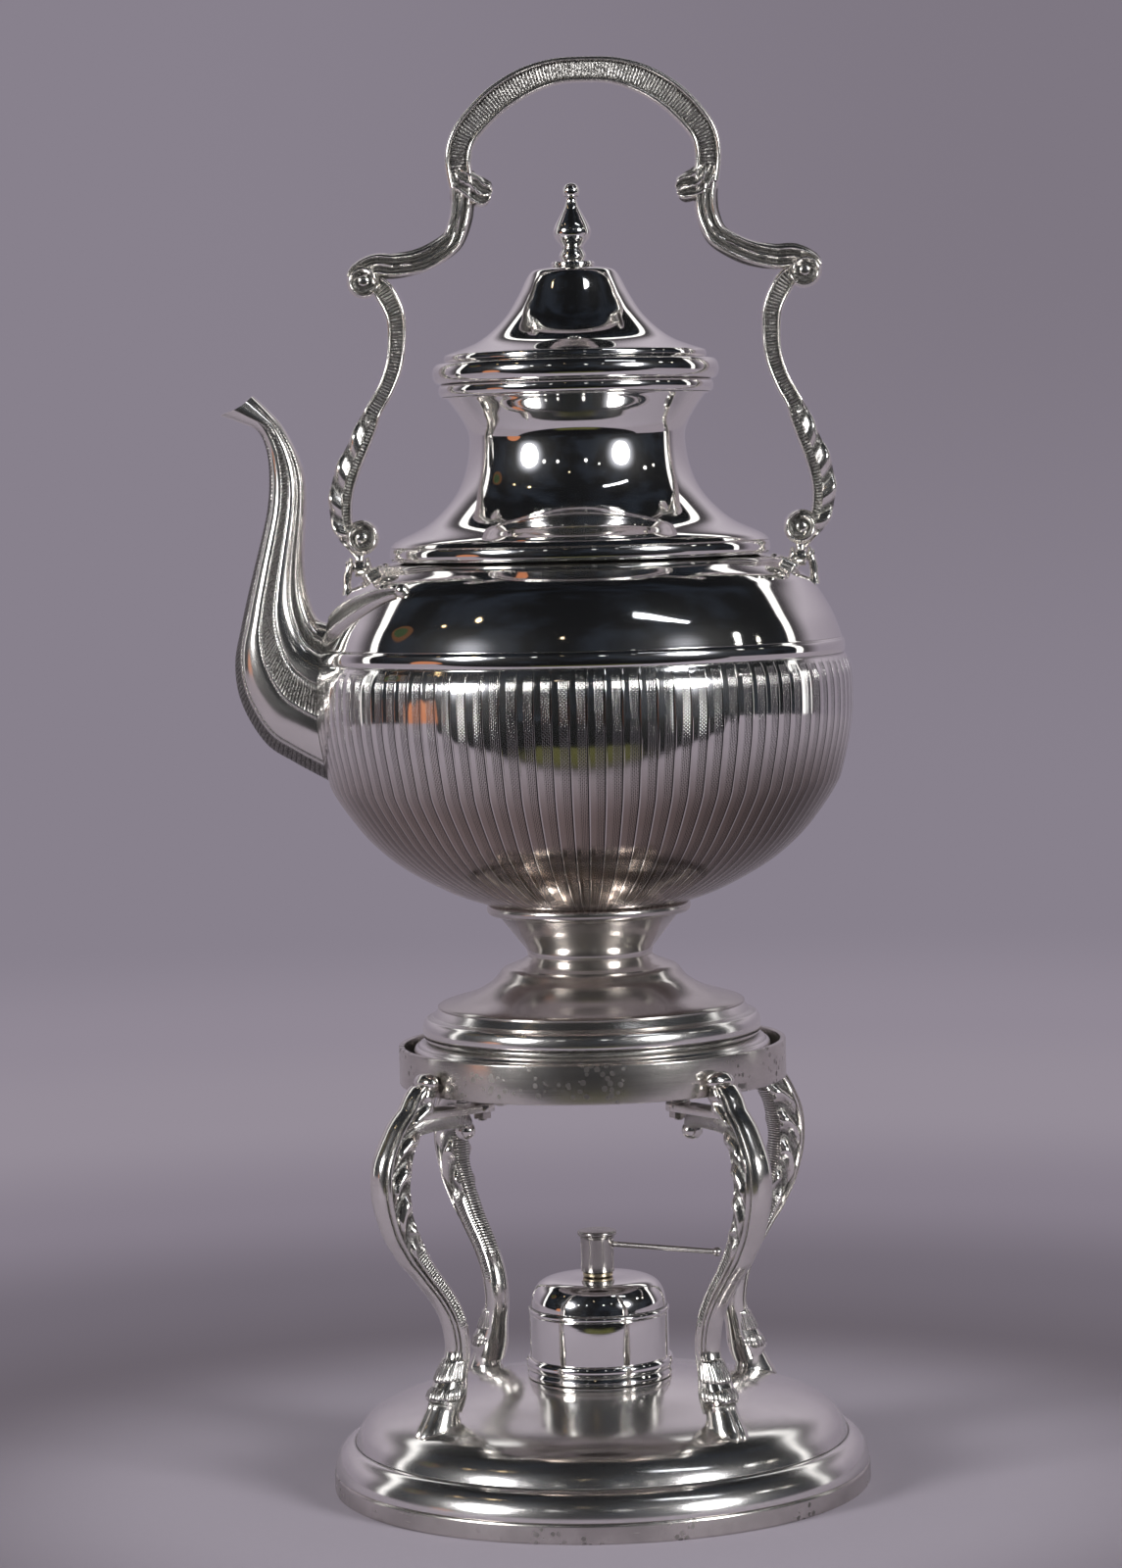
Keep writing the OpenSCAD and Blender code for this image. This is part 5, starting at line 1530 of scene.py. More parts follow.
@dataclass(frozen=True)
class Spout:
    """Hollow swan-neck spout with smooth lobes and ribbed bands."""

    size: SpoutSize
    kettle: Kettle
    finishes: Finishes

    ROWS = (
        (0.380, -0.185, 0.076, 0.301, 0.90), (0.663, -0.116, 0.135, 0.330, 0.76),
        (0.885, 0.020, 0.180, 0.384, 0.62), (0.941, 0.154, 0.208, 0.437, 0.50),
        (0.871, 0.282, 0.219, 0.500, 0.40), (0.772, 0.422, 0.208, 0.573, 0.31),
        (0.666, 0.558, 0.188, 0.660, 0.24), (0.581, 0.675, 0.178, 0.747, 0.16),
        (0.551, 0.782, 0.205, 0.820, 0.09), (0.567, 0.879, 0.284, 0.894, 0.04),
        (0.649, 0.950, 0.404, 0.971, 0.00), (0.820, 0.981, 0.540, 1.024, 0.00),
        (1.000, 1.005, 0.674, 1.069, 0.00),
    )
    LOBES = ((0.13, 0.375), (0.605, 0.79), (0.915, 1.12))
    LINES = (0.112, 0.397, 0.585, 0.81, 0.897)

    def keys(self) -> Array:
        """Sections of the spout from the root to the mouth, from its sizes and ROWS.

        Returns:
            Rows of lower x and z, upper x and z, and half width.
        """
        s, q = self.size, np.asarray(self.ROWS)
        x = -(s.start + (s.reach - s.start) * q[:, [0, 2]])
        z = s.mid_z + s.rise * q[:, [1, 3]]
        width = s.mouth_w + (s.root_w - s.mouth_w) * q[:, 4]
        rows = np.column_stack([x[:, 0], z[:, 0], x[:, 1], z[:, 1], width])
        low, high = s.mid_z - 0.259 * s.rise, s.mid_z + 0.293 * s.rise
        root = [-s.start, low, -s.start, high, s.root_w]
        return smooth(np.vstack([root, rows]), 7)

    def carve(self, place: Array, share: Array, width: Array) -> tuple[Array, Array, Array]:
        """Relief of the outer side: three smooth lobes, with ribbed bands between them.

        Args:
            place: 0 at the underside of the spout and 1 at its upper side.
            share: Share of the spout's length.
            width: Half width of the spout.

        Returns:
            Offset in millimetres, darkness and ribs.
        """
        lobes = 0 * place
        for low, high in self.LOBES:
            inside = 1 - ((place - (low + high) / 2) / ((high - low) / 2)) ** 2
            lobes = np.maximum(lobes, np.sqrt(np.maximum(inside, 0)))
        lines = sum(np.exp(-(((place - at) / 0.013) ** 2)) for at in self.LINES)
        fade = window(share, -0.2, 0.85, 0.1)
        bands = fade * (lobes < 0.05)
        size = np.clip(width / 13, 0.4, 1.1)
        off = fade * size * (0.85 * lobes - 0.75 + 0.5 * lines * bands)
        edge = np.exp(-(((lobes - 0.12) / 0.1) ** 2)) * fade
        lines = np.clip(lines, 0, 1)
        cut = np.clip(0.66 * bands * (1 - lines) + 0.85 * edge, 0, 1)
        return off, cut, bands * (1 - lines)

    def skin(self, thin: float, carved: bool, sides: int = 240) -> tuple[Array, dict[str, Array]]:
        """Rings of the outer or the inner side. The mouth's rim dips at both sides.

        Args:
            thin: How far the side lies inside the outline.
            carved: True for the relief of the outer side.
            sides: Number of points in a ring.

        Returns:
            The rings, and the numbers kept at their points.
        """
        keys = self.keys()
        a = (2 * np.pi * np.arange(sides) / sides)[None, :]
        share = np.linspace(0, 1, len(keys))
        dip = self.size.dip * window(share, 0.9, 2, 0.16)[:, None] * np.sin(a) ** 2
        at = share[:, None] - dip
        k = [np.interp(at, share, keys[:, column]) for column in range(5)]
        low, high = np.stack(k[:2], -1), np.stack(k[2:4], -1)
        span = np.linalg.norm(high - low, axis=-1)
        centre, half = (low + high) / 2, (high - low) / 2
        off, cut, hatch = 0 * at - thin, 0 * at, 0 * at
        if carved:
            off, cut, hatch = self.carve((1 + np.cos(a)) / 2 + 0 * at, at, k[4])
            cut[:2] = 1
        w, long = k[4] + off, 1 + 2 * off / span
        rings = np.stack(
            [centre[..., 0] + half[..., 0] * np.cos(a) * long, w * np.sin(a),
             centre[..., 1] + half[..., 1] * np.cos(a) * long], -1
        )
        step = np.linalg.norm(np.diff(centre[:, 0], axis=0), axis=1)
        along = np.concatenate([[0], np.cumsum(step)])[:, None] + 0 * a
        return rings, {"cut": cut, "hatch": hatch, "along": along}

    def seated(self, ring: Array) -> Array:
        """The ring moved along X onto the vessel.

        Args:
            ring: The points.

        Returns:
            The points, at the vessel's radius plus the lift of the root.
        """
        r = self.kettle.radius_at(ring[:, 2]) + self.size.root_lift
        x = -np.sqrt(np.maximum(r**2 - ring[:, 1] ** 2, 1))
        return np.stack([x, ring[:, 1], ring[:, 2]], -1)

    def build(self) -> None:
        """Makes the spout."""
        outer, values = self.skin(0, True)
        bore, plain = self.skin(self.size.wall + 0.3, False)
        outer[0], bore[0] = self.seated(outer[0]), self.seated(bore[0])
        rings = np.concatenate([outer, bore[::-1]])
        both = {key: np.concatenate([values[key], plain[key][::-1]]) for key in values}
        spout = make_object("spout_swan_neck", [tube(rings, closed=True, **both)], 50)
        settle(spout, "kettle", self.finishes.ribbed, Slot.SATIN, "spout")


# Lid


@dataclass(frozen=True)
class LidSize:
    """Sizes of the lid and its finial."""

    z: float = 396.3
    r: float = 45.8
    h: float = 32.4
    crown_r: float = 15.4
    wall: float = 1.2
    bezel_r: float = 41.5
    washer_r: float = 7.7
    washer_t: float = 1.8
    finial_h: float = 27.3
    screw_r: float = 1.5


@dataclass(frozen=True)
class Lid:
    """Lift-off lid with its finial."""

    size: LidSize
    finishes: Finishes

    BELL = ((0.985, 0.083), (0.60, 0.222), (0.31, 0.448), (0.142, 0.68), (0, 0.926))
    FINIAL = (
        (3.6, 0), (4.8, 0.06), (4.4, 0.11), (3.6, 0.165), (4.2, 0.215), (5.8, 0.289), (6.6, 0.363),
        (6.1, 0.45), (4.2, 0.58), (2.6, 0.69), (1.9, 0.777), (2.2, 0.83),
    )

    def build(self) -> None:
        """Makes the bell, the washer and the finial."""
        s, f = self.size, self.finishes
        top = s.z + s.h
        curve = np.asarray(self.BELL) * [s.r - s.crown_r, s.h] + [s.crown_r, s.z]
        crown = [[s.crown_r - 3.4, top - 0.6], [s.washer_r - 1.2, top]]
        outer = np.vstack(
            [[[s.r - 0.6, s.z], [s.r, s.z + 0.9], [s.r - 0.1, s.z + 2]],
             smooth(np.vstack([curve, crown]), 10), [[s.screw_r + 0.2, top]]]
        )
        under = inner(smooth(curve, 10), s.wall)
        profile = np.vstack(
            [outer, [[s.screw_r + 0.2, top - s.wall], [s.washer_r - 1.2, top - s.wall]], under[::-1],
             [[s.bezel_r - 1.2, s.z + s.wall], [s.bezel_r - 1.2, s.z]]]
        )
        obj = make_object("lid_bell", [lathe(profile, 320, 0.25)])
        settle(obj, "lid", f.mirror, Slot.MIRROR, "lid_shell")
        base = top + s.washer_t
        hole = 1.4
        washer = np.vstack([[[hole, top]], bead(s.washer_r - 0.7, top, base, 0.7), [[hole, base]]])
        obj = make_object("lid_washer", [lathe(washer, 96, 0)])
        settle(obj, "lid", f.mirror, Slot.MIRROR, "finial_washer")
        body = smooth(self.FINIAL, 8)
        a = np.radians(np.linspace(-38, 90, 20))
        knob = np.stack([3 * np.cos(a), 0.892 + 0.108 * np.sin(a)], 1)
        knob[-1] = [0, 1]
        line = np.vstack([body, knob]) * [1, s.finial_h] + [0, base]
        screw = top - s.wall - 4
        profile = np.vstack([[[0, screw], [s.screw_r, screw], [s.screw_r, base]], line])
        obj = make_object("lid_finial", [lathe(profile, 128, 0)])
        settle(obj, "lid", f.mirror, Slot.MIRROR, "finial")


# Handle


@dataclass(frozen=True)
class HandleSize:
    """Sizes of the handle."""

    hinge_x: float = 77.2
    hinge_z: float = 326.0
    height: float = 175.4
    depth: float = 4.0
    lean: float = 0.0315
    right_bow: float = 1.6
    eye_r: float = 3.4
    eye_t: float = 3.4
    pin_r: float = 1.6
    pin_gap: float = 0.06


@dataclass(frozen=True)
class Handle:
    """Grip and two arms with scrolls."""

    size: HandleSize
    finishes: Finishes

    ARM = (
        (-0.2, 0.026, 1.9, 0.55), (1.6, 0.036, 2.0, 0.7), (4.6, 0.064, 2.6, 0.95), (6.6, 0.101, 3.2, 1),
        (6.5, 0.148, 3.5, 1), (4.1, 0.197, 3.5, 1), (-0.2, 0.251, 3.1, 0.95), (-4.2, 0.305, 3.0, 0.9),
        (-8.7, 0.351, 2.9, 0.85), (-11.8, 0.400, 3.0, 0.85), (-12.7, 0.453, 3.2, 0.85),
        (-12.1, 0.499, 3.4, 0.9), (-8.5, 0.542, 3.6, 0.95), (-5.5, 0.560, 3.2, 0.95),
    )
    CROOK = (
        (3.6, 0.572, 2.0, 0.9), (1.0, 0.586, 3.2, 0.95), (-5, 0.597, 4.1, 1), (-11.5, 0.596, 4.2, 1),
        (-19.7, 0.604, 4.1, 1), (-26.5, 0.621, 4.0, 1), (-31.9, 0.644, 3.9, 1), (-34.6, 0.682, 3.9, 1),
        (-35.3, 0.716, 4.0, 1), (-35.1, 0.744, 4.2, 1),
    )
    GRIP = (
        (-35.0, 0.750, 4.2, 1), (-33.7, 0.801, 4.5, 1), (-35.3, 0.843, 4.6, 1), (-40.3, 0.882, 4.8, 1),
        (-47.7, 0.921, 4.9, 1), (-56.9, 0.952, 4.8, 1), (-66.8, 0.970, 4.4, 1),
    )
    END_LOBE = (
        (-45.4, 0.731, 2.2, 0.75), (-44.0, 0.733, 4.2, 1.0), (-41.0, 0.738, 4.9, 1.1),
        (-37.4, 0.750, 4.8, 1.1), (-34.6, 0.766, 4.3, 1.0), (-32.6, 0.784, 1.6, 0.6),
    )

    def bow(self, side: int, share: Array) -> Array:
        """How far the right arm bows out: the root of the sine of 225 degrees times the share."""
        lift = np.sqrt(np.maximum(np.sin(np.radians(225 * share)), 0))
        return self.size.right_bow * lift if side > 0 else 0 * lift

    def placed(self, shape: Sequence[Sequence[float]], side: int) -> Array:
        """Rows of a table set in place on one side of the handle.

        Args:
            shape: Rows of offset from the hinge, share of the height, half width and share of
                the half depth.
            side: 1 for the right side, -1 for the left.

        Returns:
            Rows of x, z, half width and half depth.
        """
        s, q = self.size, np.asarray(shape, float)
        x = side * (s.hinge_x + q[:, 0] + self.bow(side, q[:, 1]))
        return np.column_stack([x, s.hinge_z + s.height * q[:, 1], q[:, 2], s.depth * q[:, 3]])

    def leaned(self, skin: Skin) -> Skin:
        """The skin moved sideways by the lean for each millimetre of height over the hinge."""
        shift = self.size.lean * (skin.points[:, 2:] - self.size.hinge_z) * [1, 0, 0]
        return Skin(skin.points + shift, skin.quads, skin.triangles, skin.values)

    @staticmethod
    def channel(along: Array, across: Array, share: Array) -> Relief:
        """A ribbed channel between two raised edges, each a half round with a line beside it.

        Args:
            along: Length along the bar in millimetres.
            across: Place across it, from -1 to 1.
            share: Not used.

        Returns:
            The relief.
        """
        edges = rim(np.abs(across), 0.82, 0.2)
        field = window(np.abs(across), -1, 0.6, 0.06)
        line = np.exp(-(((np.abs(across) - 0.61) / 0.035) ** 2))
        none = 0 * along
        return Relief(0.6 + 0.4 * edges, np.clip(0.66 * field + 0.9 * line, 0, 1), field, none)

    @staticmethod
    def arm_face(along: Array, across: Array, share: Array) -> Relief:
        """The ribbed channel above, and leaf lobes on the outer half of the lower arm.

        The lobes are a cosine of the length, whose pitch grows with it, less 0.3 of the place.

        Args:
            along: Length along the bar in millimetres.
            across: Place across it, from -1 to 1.
            share: Share of its length.

        Returns:
            The relief.
        """
        top = Handle.channel(along, across, share)
        lower = window(share, 0.06, 0.5, 0.05)
        outer = window(across, -0.22, 1.3, 0.16)
        lobes = np.cos(2 * np.pi * (along / (8.6 + 4 * share) - 0.3 * across))
        field = window(across, -0.78, -0.2, 0.12)
        round_edge = np.sqrt(1 - 0.75 * np.abs(across) ** 5)
        leaf = 0.84 * round_edge + outer * 0.24 * lobes - 0.3 * field + 0.12 * rim(across, -0.88, 0.12)
        cut = np.clip(outer * np.clip(-1.6 * lobes - 0.5, 0, 1) + 0.6 * field, 0, 1)
        height = top.height * (1 - lower) + leaf * lower
        dark = top.cut * (1 - lower) + cut * lower
        hatch = top.hatch * (1 - lower) + field * lower
        swell = lower * (0.6 + 0.3 * lobes * window(across, 0.2, 2, 0.3))
        return Relief(height, dark, hatch, swell)

    @staticmethod
    def crook_face(along: Array, across: Array, share: Array) -> Relief:
        """Three ridges along the crook, with dark grooves between them that wander a little.

        The ridges are a cosine of the place across, shifted by a sine of the length.

        Args:
            along: Length along the bar in millimetres.
            across: Place across it, from -1 to 1.
            share: Share of its length.

        Returns:
            The relief.
        """
        wave = np.cos(2 * np.pi * (across * 1.4 + 0.16 * np.sin(2 * np.pi * share * 1.5)))
        cut = np.clip(-wave * 1.2, 0, 1) * window(share, 0.02, 0.97, 0.04)
        return Relief((0.84 + 0.18 * wave) * np.sqrt(1 - 0.7 * across**6), cut, 0.3 * cut, 0 * along)

    def volute(
        self, at: tuple[float, float], radius: float, side: int, depth: float, turn: float
    ) -> Skin:
        """Scroll: a domed boss, a dark groove and a ridge that winds in towards the boss.

        The boss is a half ellipse of 0.36 of the radius, and the ridge a bump whose distance
        from the middle shrinks with the angle.

        Args:
            at: Offset from the hinge and share of the handle's height of its middle.
            radius: Its radius.
            side: 1 for the right arm, -1 for the left.
            depth: Half of its thickness.
            turn: Angle at which the ridge starts, in degrees.

        Returns:
            The skin, in the handle's frame before it leans.
        """
        centre = self.placed([(at[0], at[1], 0, 0)], side)[0]
        n = 72
        a = (2 * np.pi * np.arange(n) / n)[None, :]
        share = np.concatenate([np.linspace(0.02, 0.98, 34), [1.0]])[:, None]
        wound = (side * (a - math.radians(turn)) / (2 * np.pi)) % 1
        ridge_at = 0.92 - 0.26 * wound
        ridge = np.exp(-(((share - ridge_at) / 0.15) ** 2))
        boss = np.sqrt(np.maximum(1 - (share / 0.36) ** 2, 0))
        height = depth * 0.74 + 1.9 * ridge + 1.1 * boss - 0.6 * np.clip((share - 0.92) * 12, 0, 1)
        cut = np.clip(1.3 - 2.2 * ridge - 4 * boss, 0, 1) * (share < 0.9)
        x, z = centre[0] + radius * share * np.cos(a), centre[1] + radius * share * np.sin(a)
        front = np.stack([x, -height, z], -1)
        edge = front[-1:] * [1, 0, 1] + [0, 1, 0] * np.linspace(-0.6, 0.6, 5)[:, None, None] * depth
        edge += (edge - [centre[0], 0, centre[1]]) * [0.03, 0, 0.03]
        values = np.concatenate([cut, np.zeros((5, n)), cut[::-1]])
        return tube(np.concatenate([front, edge, front[::-1] * [1, -1, 1]]), cut=values)

    def eye(self, side: int) -> list[Skin]:
        """Eye round the hinge pin, and the stem above it.

        Args:
            side: 1 for the right arm, -1 for the left.

        Returns:
            The skins.
        """
        s = self.size
        hole, half = s.pin_r + s.pin_gap, s.eye_t / 2
        profile = np.array([[hole, -half], [s.eye_r, -half], [s.eye_r, half], [hole, half]])
        ring = lathe(profile, 48, 0.4)
        p = ring.points
        placed = np.stack([p[:, 2] + side * s.hinge_x, p[:, 1], -p[:, 0] + s.hinge_z], -1)
        keys = smooth(
            [[side * s.hinge_x, s.hinge_z + 2.4, 1.7, 2.3], [side * s.hinge_x, s.hinge_z + 4.4, 1.6, 2.0],
             [side * (s.hinge_x + 0.4), s.hinge_z + 7.4, 1.8, 2.4]], 6
        )
        return [Skin(placed, ring.quads, ring.triangles, {}), cast_bar(keys, plain_face)]

    def arm(self, side: int) -> list[Skin]:
        """Shaft, crook, two scrolls and the eye of one arm.

        Args:
            side: 1 for the right arm, -1 for the left.

        Returns:
            The skins.
        """
        shaft = cast_bar(smooth(self.placed(self.ARM, side), 14), self.arm_face, side)
        crook = cast_bar(smooth(self.placed(self.CROOK, side), 12), self.crook_face)
        top = self.volute((-1.1, 0.567), 5.8, side, 3.9, 200 if side > 0 else -20)
        foot = self.volute((-0.7, 0.059), 5.9, side, 3.5, 100 if side > 0 else 80)
        return [self.leaned(skin) for skin in (shaft, crook, top, foot)] + self.eye(side)

    def grip(self) -> list[Skin]:
        """The grip and its two end lobes.

        Returns:
            The skins.
        """
        s = self.size
        left, right = self.placed(self.GRIP, -1), self.placed(self.GRIP, 1)
        crown = [[0, s.hinge_z + s.height - 4.65, 4.25, s.depth]]
        arch = cast_bar(smooth(np.vstack([left, crown, right[::-1]]), 14), self.channel)
        parts = [arch]
        for side in (-1, 1):
            lobe = self.placed(self.END_LOBE, side)
            parts.append(cast_bar(smooth(lobe, 10), self.crook_face))
        return [self.leaned(skin) for skin in parts]

    def build(self) -> None:
        """Makes the handle."""
        f = self.finishes
        settle(make_object("grip_arch", self.grip(), 50), "handle", f.ribbed, Slot.SATIN, "handle_grip")
        for name, side in (("left", -1), ("right", 1)):
            obj = make_object(f"scroll_arm_{name}", self.arm(side), 50)
            settle(obj, "handle", f.ribbed, Slot.SATIN, f"handle_arm_{name}")


# Burner


@dataclass(frozen=True)
class BurnerSize:
    """Sizes of the burner."""

    z: float = 38.3
    r: float = 24.6
    foot_in: float = 22.0
    foot_h: float = 7.0
    floor: float = 41.3
    top: float = 60.8
    top_h: float = 12.5
    wall: float = 0.9
    tube_r: float = 4.0
    holder_z: float = 73.6
    tube_top: float = 82.2
    wick_r: float = 3.0
    cap_r: float = 5.9
    cap_z: float = 75.1
    cap_h: float = 15.0
    rod_l: float = 45.0
    rod_turn: float = -20.0
    rod_drop: float = 2.0


@dataclass(frozen=True)
class Burner:
    """Font with its foot and top, wick tube and snuffer."""

    size: BurnerSize
    finishes: Finishes

    def build(self) -> None:
        """Makes the burner."""
        s, f = self.size, self.finishes
        foot = np.vstack(
            [[[s.foot_in, s.z], [s.r + 0.9, s.z], [s.r + 1.2, s.z + 1.4], [s.r + 0.7, s.z + 2.6]],
             bead(s.r + 0.5, s.z + 3, s.z + s.foot_h, 0.9),
             [[s.r, s.z + s.foot_h], [s.r, s.floor], [s.foot_in, s.floor]]]
        )
        obj = make_object("burner_foot_ring", [lathe(foot, 192, 0.25)])
        settle(obj, "burner", f.mirror, Slot.MIRROR, "burner_foot")
        font = np.array(
            [[0, s.floor], [s.r, s.floor], [s.r, s.top], [s.r - s.wall, s.top],
             [s.r - s.wall, s.floor + s.wall], [0, s.floor + s.wall]]
        )
        obj = make_object("burner_font_shell", [lathe(font, 192, 0.25)])
        settle(obj, "burner", f.mirror, Slot.MIRROR, "burner_font")
        roof = s.top + s.top_h
        curve = np.array(
            [[s.r - 0.7, s.top + 2.2], [s.r - 1.3, s.top + 0.5 * s.top_h],
             [s.r - 3.3, s.top + 0.8 * s.top_h], [s.r - 7, roof - 0.5]]
        )
        profile = np.vstack(
            [bead(s.r - 0.3, s.top, s.top + 2, 0.6),
             smooth(np.vstack([curve, [[s.r - 12, roof]]]), 8),
             [[s.tube_r + 0.2, roof], [s.tube_r + 0.2, roof - s.wall], [s.r - 12, roof - s.wall]],
             inner(smooth(curve, 8), s.wall)[::-1], [[s.r - 1.6, s.top]]]
        )
        obj = make_object("burner_domed_top", [lathe(profile, 192, 0.2)])
        settle(obj, "burner", f.mirror, Slot.MIRROR, "burner_top")
        low, bore = s.holder_z, s.wick_r + 0.1
        holder = np.array(
            [[bore, low - 16], [s.tube_r, low - 16], [s.tube_r, low], [s.tube_r + 1.3, low],
             [s.tube_r + 1.3, low + 1.2], [s.tube_r, low + 1.2], [s.tube_r, s.tube_top],
             [bore, s.tube_top]]
        )
        obj = make_object("wick_tube", [lathe(holder, 96, 0.2)])
        settle(obj, "wick_holder", f.brass, Slot.BRASS, "wick_holder")
        self.snuffer()

    def snuffer(self) -> None:
        """Makes the snuffer's cap and rod."""
        s, f = self.size, self.finishes
        top, hole = s.cap_z + s.cap_h, s.cap_r - 1
        cap = np.vstack(
            [[[0, top - 3.2], [hole, top - 3.2], [hole, s.cap_z], [s.cap_r, s.cap_z],
              [s.cap_r, top - 3.2], [s.cap_r + 0.3, top - 2.6]],
             bead(s.cap_r + 0.4, top - 2.2, top - 0.4, 0.7),
             [[s.cap_r - 1, top - 0.1], [0, top - 0.9]]]
        )
        obj = make_object("snuffer_cup", [lathe(cap, 128, 0.2)])
        settle(obj, "snuffer", f.dull, Slot.SATIN, "snuffer_cap")
        far = np.linspace(s.cap_r - 0.4, s.rod_l - 0.4, 24)
        sag = math.sin(math.radians(s.rod_drop))
        path = np.stack([far, 0 * far, top - 5 - far * sag], -1)
        rod = wire(path, np.full(24, 1.0), 24)
        tip = ball(path[-1], [1.7, 1.7, 1.7], 16, 24)
        obj = make_object("snuffer_rod_ball", [spun(rod, s.rod_turn), spun(tip, s.rod_turn)])
        settle(obj, "snuffer", f.dull, Slot.SATIN, "snuffer_rod")


# Studio


@dataclass(frozen=True)
class Lamp:
    """A soft lamp of the room. It lights the floor, and the room's painting shows its glow.

    Args:
        azimuth: Its direction, 0 towards the camera and positive to the right, in degrees.
        elevation: Its direction over the horizon, in degrees.
        distance: Its distance from the axis in metres.
        height: Its height in metres.
        size: Its width and height in metres.
        watts: Its power.
    """

    azimuth: float
    elevation: float
    distance: float
    height: float
    size: tuple[float, float]
    watts: float


class Studio:
    """Floor, backdrop, room, lamps and camera."""

    LAMPS = (
        Lamp(-53.5, 17, 1.44, 0.737, (0.5, 0.5), 8.0),
        Lamp(47.0, 17, 1.44, 0.737, (0.5, 0.5), 8.0),
    )
    # Azimuth and elevation, half angle in degrees and colour of small lights in the dark room
    LIGHTS = (
        ((-62, 48), 1.3, (6.0, 4.6, 2.6, 1)),
        ((-78, 40), 1.0, (4.0, 2.8, 1.4, 1)),
        ((77, 26), 1.8, (6.0, 6.0, 6.0, 1)),
        ((88, 22), 1.2, (5.0, 4.8, 4.4, 1)),
        ((-37, 23), 1.6, (4.0, 4.0, 4.0, 1)),
        ((-22, 24), 1.4, (4.0, 4.0, 4.0, 1)),
        ((8.5, 24), 1.6, (4.0, 4.0, 4.0, 1)),
        ((23, 27), 1.0, (3.0, 3.0, 3.0, 1)),
        ((-10, 36), 0.8, (3.0, 2.4, 1.6, 1)),
    )
    # The same for larger patches of colour
    PATCHES = (
        ((-97, 28), 6.0, (0.10, 0.045, 0.02, 1)),
        ((-98, 28), 4.0, (0.03, 0.05, 0.02, 1)),
        ((-72, -6), 9.0, (0.55, 0.20, 0.09, 1)),
    )
    # Side, top edge and corner radius of the paper behind the object, in degrees
    PAPER_SIDE = 105.0
    PAPER_TOP = 41.0
    PAPER_CORNER = 28.0
    CAMERA_PLACE = (-0.0087, -1.5339, 0.3568)
    CAMERA_PITCH = 4.05
    CAMERA_ROLL = 1.45
    CAMERA_LENS = 100.46

    def __init__(self) -> None:
        """Sets the paper's own colour."""
        self.paper = linear(136, 129, 141)

    def floor(self) -> None:
        """Round floor, with its own look for the camera and for the metal.

        The camera sees lit paper near the object, then glowing painted tones: painted shade, darkest about
        0.2 to 0.4 m from the axis, brightening to the backdrop's colour further out. The metal sees lit
        paper, then glowing painted tones: a pale floor beyond it, and a dark table towards the camera.
        """
        a = np.linspace(0, 2 * np.pi, 128, endpoint=False)
        r = np.array([0.2, 0.5, 1.0, 1.6, 2.6])[:, None] / MM
        under, thick = 0.05, 8
        top = np.stack([r * np.cos(a), r * np.sin(a), -under + 0 * r * a], -1)
        floor = make_object("floor", [tube(np.concatenate([top, top[::-1] - [0, 0, thick]]))])
        material = bpy.data.materials.new("paper_floor")
        material.use_nodes = True
        t = Tree(material.node_tree)
        material.node_tree.nodes.remove(material.node_tree.nodes["Principled BSDF"])
        place = t.place()
        xyz = t.parts(place)
        flat = t.node("CombineXYZ", {0: xyz[0], 1: xyz[1], 2: 0.0}).outputs[0]
        far = t.node("VectorMath", {0: flat}, operation="LENGTH").outputs["Value"]
        grain = t.node("TexNoise", {"Vector": place, "Scale": 260.0, "Detail": 4.0}).outputs["Fac"]
        paper = t.mix(t.times(grain, 0.12), (0.36, 0.325, 0.375, 1), (0.30, 0.27, 0.315, 1))
        lit = t.node("BsdfDiffuse", {"Color": paper}).outputs[0]
        camera = t.node("LightPath").outputs["Is Camera Ray"]
        # Painted shade for the camera: darkest just beyond the lit paper, brightening outward to the
        # backdrop's colour.
        camera_tone_painted_shade = linear(104, 97, 105)
        for low, high, tone in (
            (0.24, 0.42, linear(114, 107, 117)),
            (0.4, 0.62, linear(135, 127, 139)),
            (0.6, 0.9, linear(149, 141, 152)),
            (1.0, 1.3, linear(145, 137, 149)),
            (1.3, 1.9, self.paper),
        ):
            camera_tone_painted_shade = t.mix(t.step(far, low, high), camera_tone_painted_shade, tone)
        # Painted tones that glow for reflections: a pale floor beyond the lit paper, a near-black table
        # towards the camera and a dull yellow band near its edge.
        ahead = t.times_add(t.times(xyz[0], xyz[0]), 0.1, xyz[1])
        table = t.step(ahead, -0.5, -0.56)
        lip = t.times(t.step(ahead, -0.54, -0.58), t.step(ahead, -0.78, -0.72))
        lip = t.times(lip, t.step(t.math("ABSOLUTE", xyz[0]), 0.34, 0.2))
        room = t.mix(table, linear(150, 142, 152), linear(9, 10, 13))
        room = t.mix(t.times(lip, 0.8), room, linear(92, 92, 52))
        glow = t.node("Emission", {"Color": t.mix(camera, room, camera_tone_painted_shade)}).outputs[0]
        edge = t.blend(camera, t.math("MAXIMUM", t.step(far, 0.5, 0.9), table), t.step(far, 0.14, 0.3))
        out = t.node("MixShader", {0: edge, 1: lit, 2: glow}).outputs[0]
        t.tree.links.new(out, material.node_tree.nodes["Material Output"].inputs[0])
        floor.data.materials.append(material)

    def room(self) -> None:
        """World: a backdrop for the camera with painted shade, slightly darker higher up and darker on the
        right, and a painted room for reflections.

        The room is drawn by direction: azimuth from the camera's side, and elevation. Paper
        stands behind, with a bright rim along its edge; the rest is a dark room with lamps.
        """
        world = bpy.data.worlds.new("room")
        bpy.context.scene.world = world
        world.use_nodes = True
        t = Tree(world.node_tree)
        way = t.node("TexCoord").outputs["Generated"]
        xyz = t.parts(way)
        side = t.math("ABSOLUTE", t.math("ARCTAN2", xyz[0], t.times(xyz[1], -1.0)))
        side = t.math("DEGREES", side)
        up = t.math("DEGREES", t.math("ARCSINE", xyz[2]))
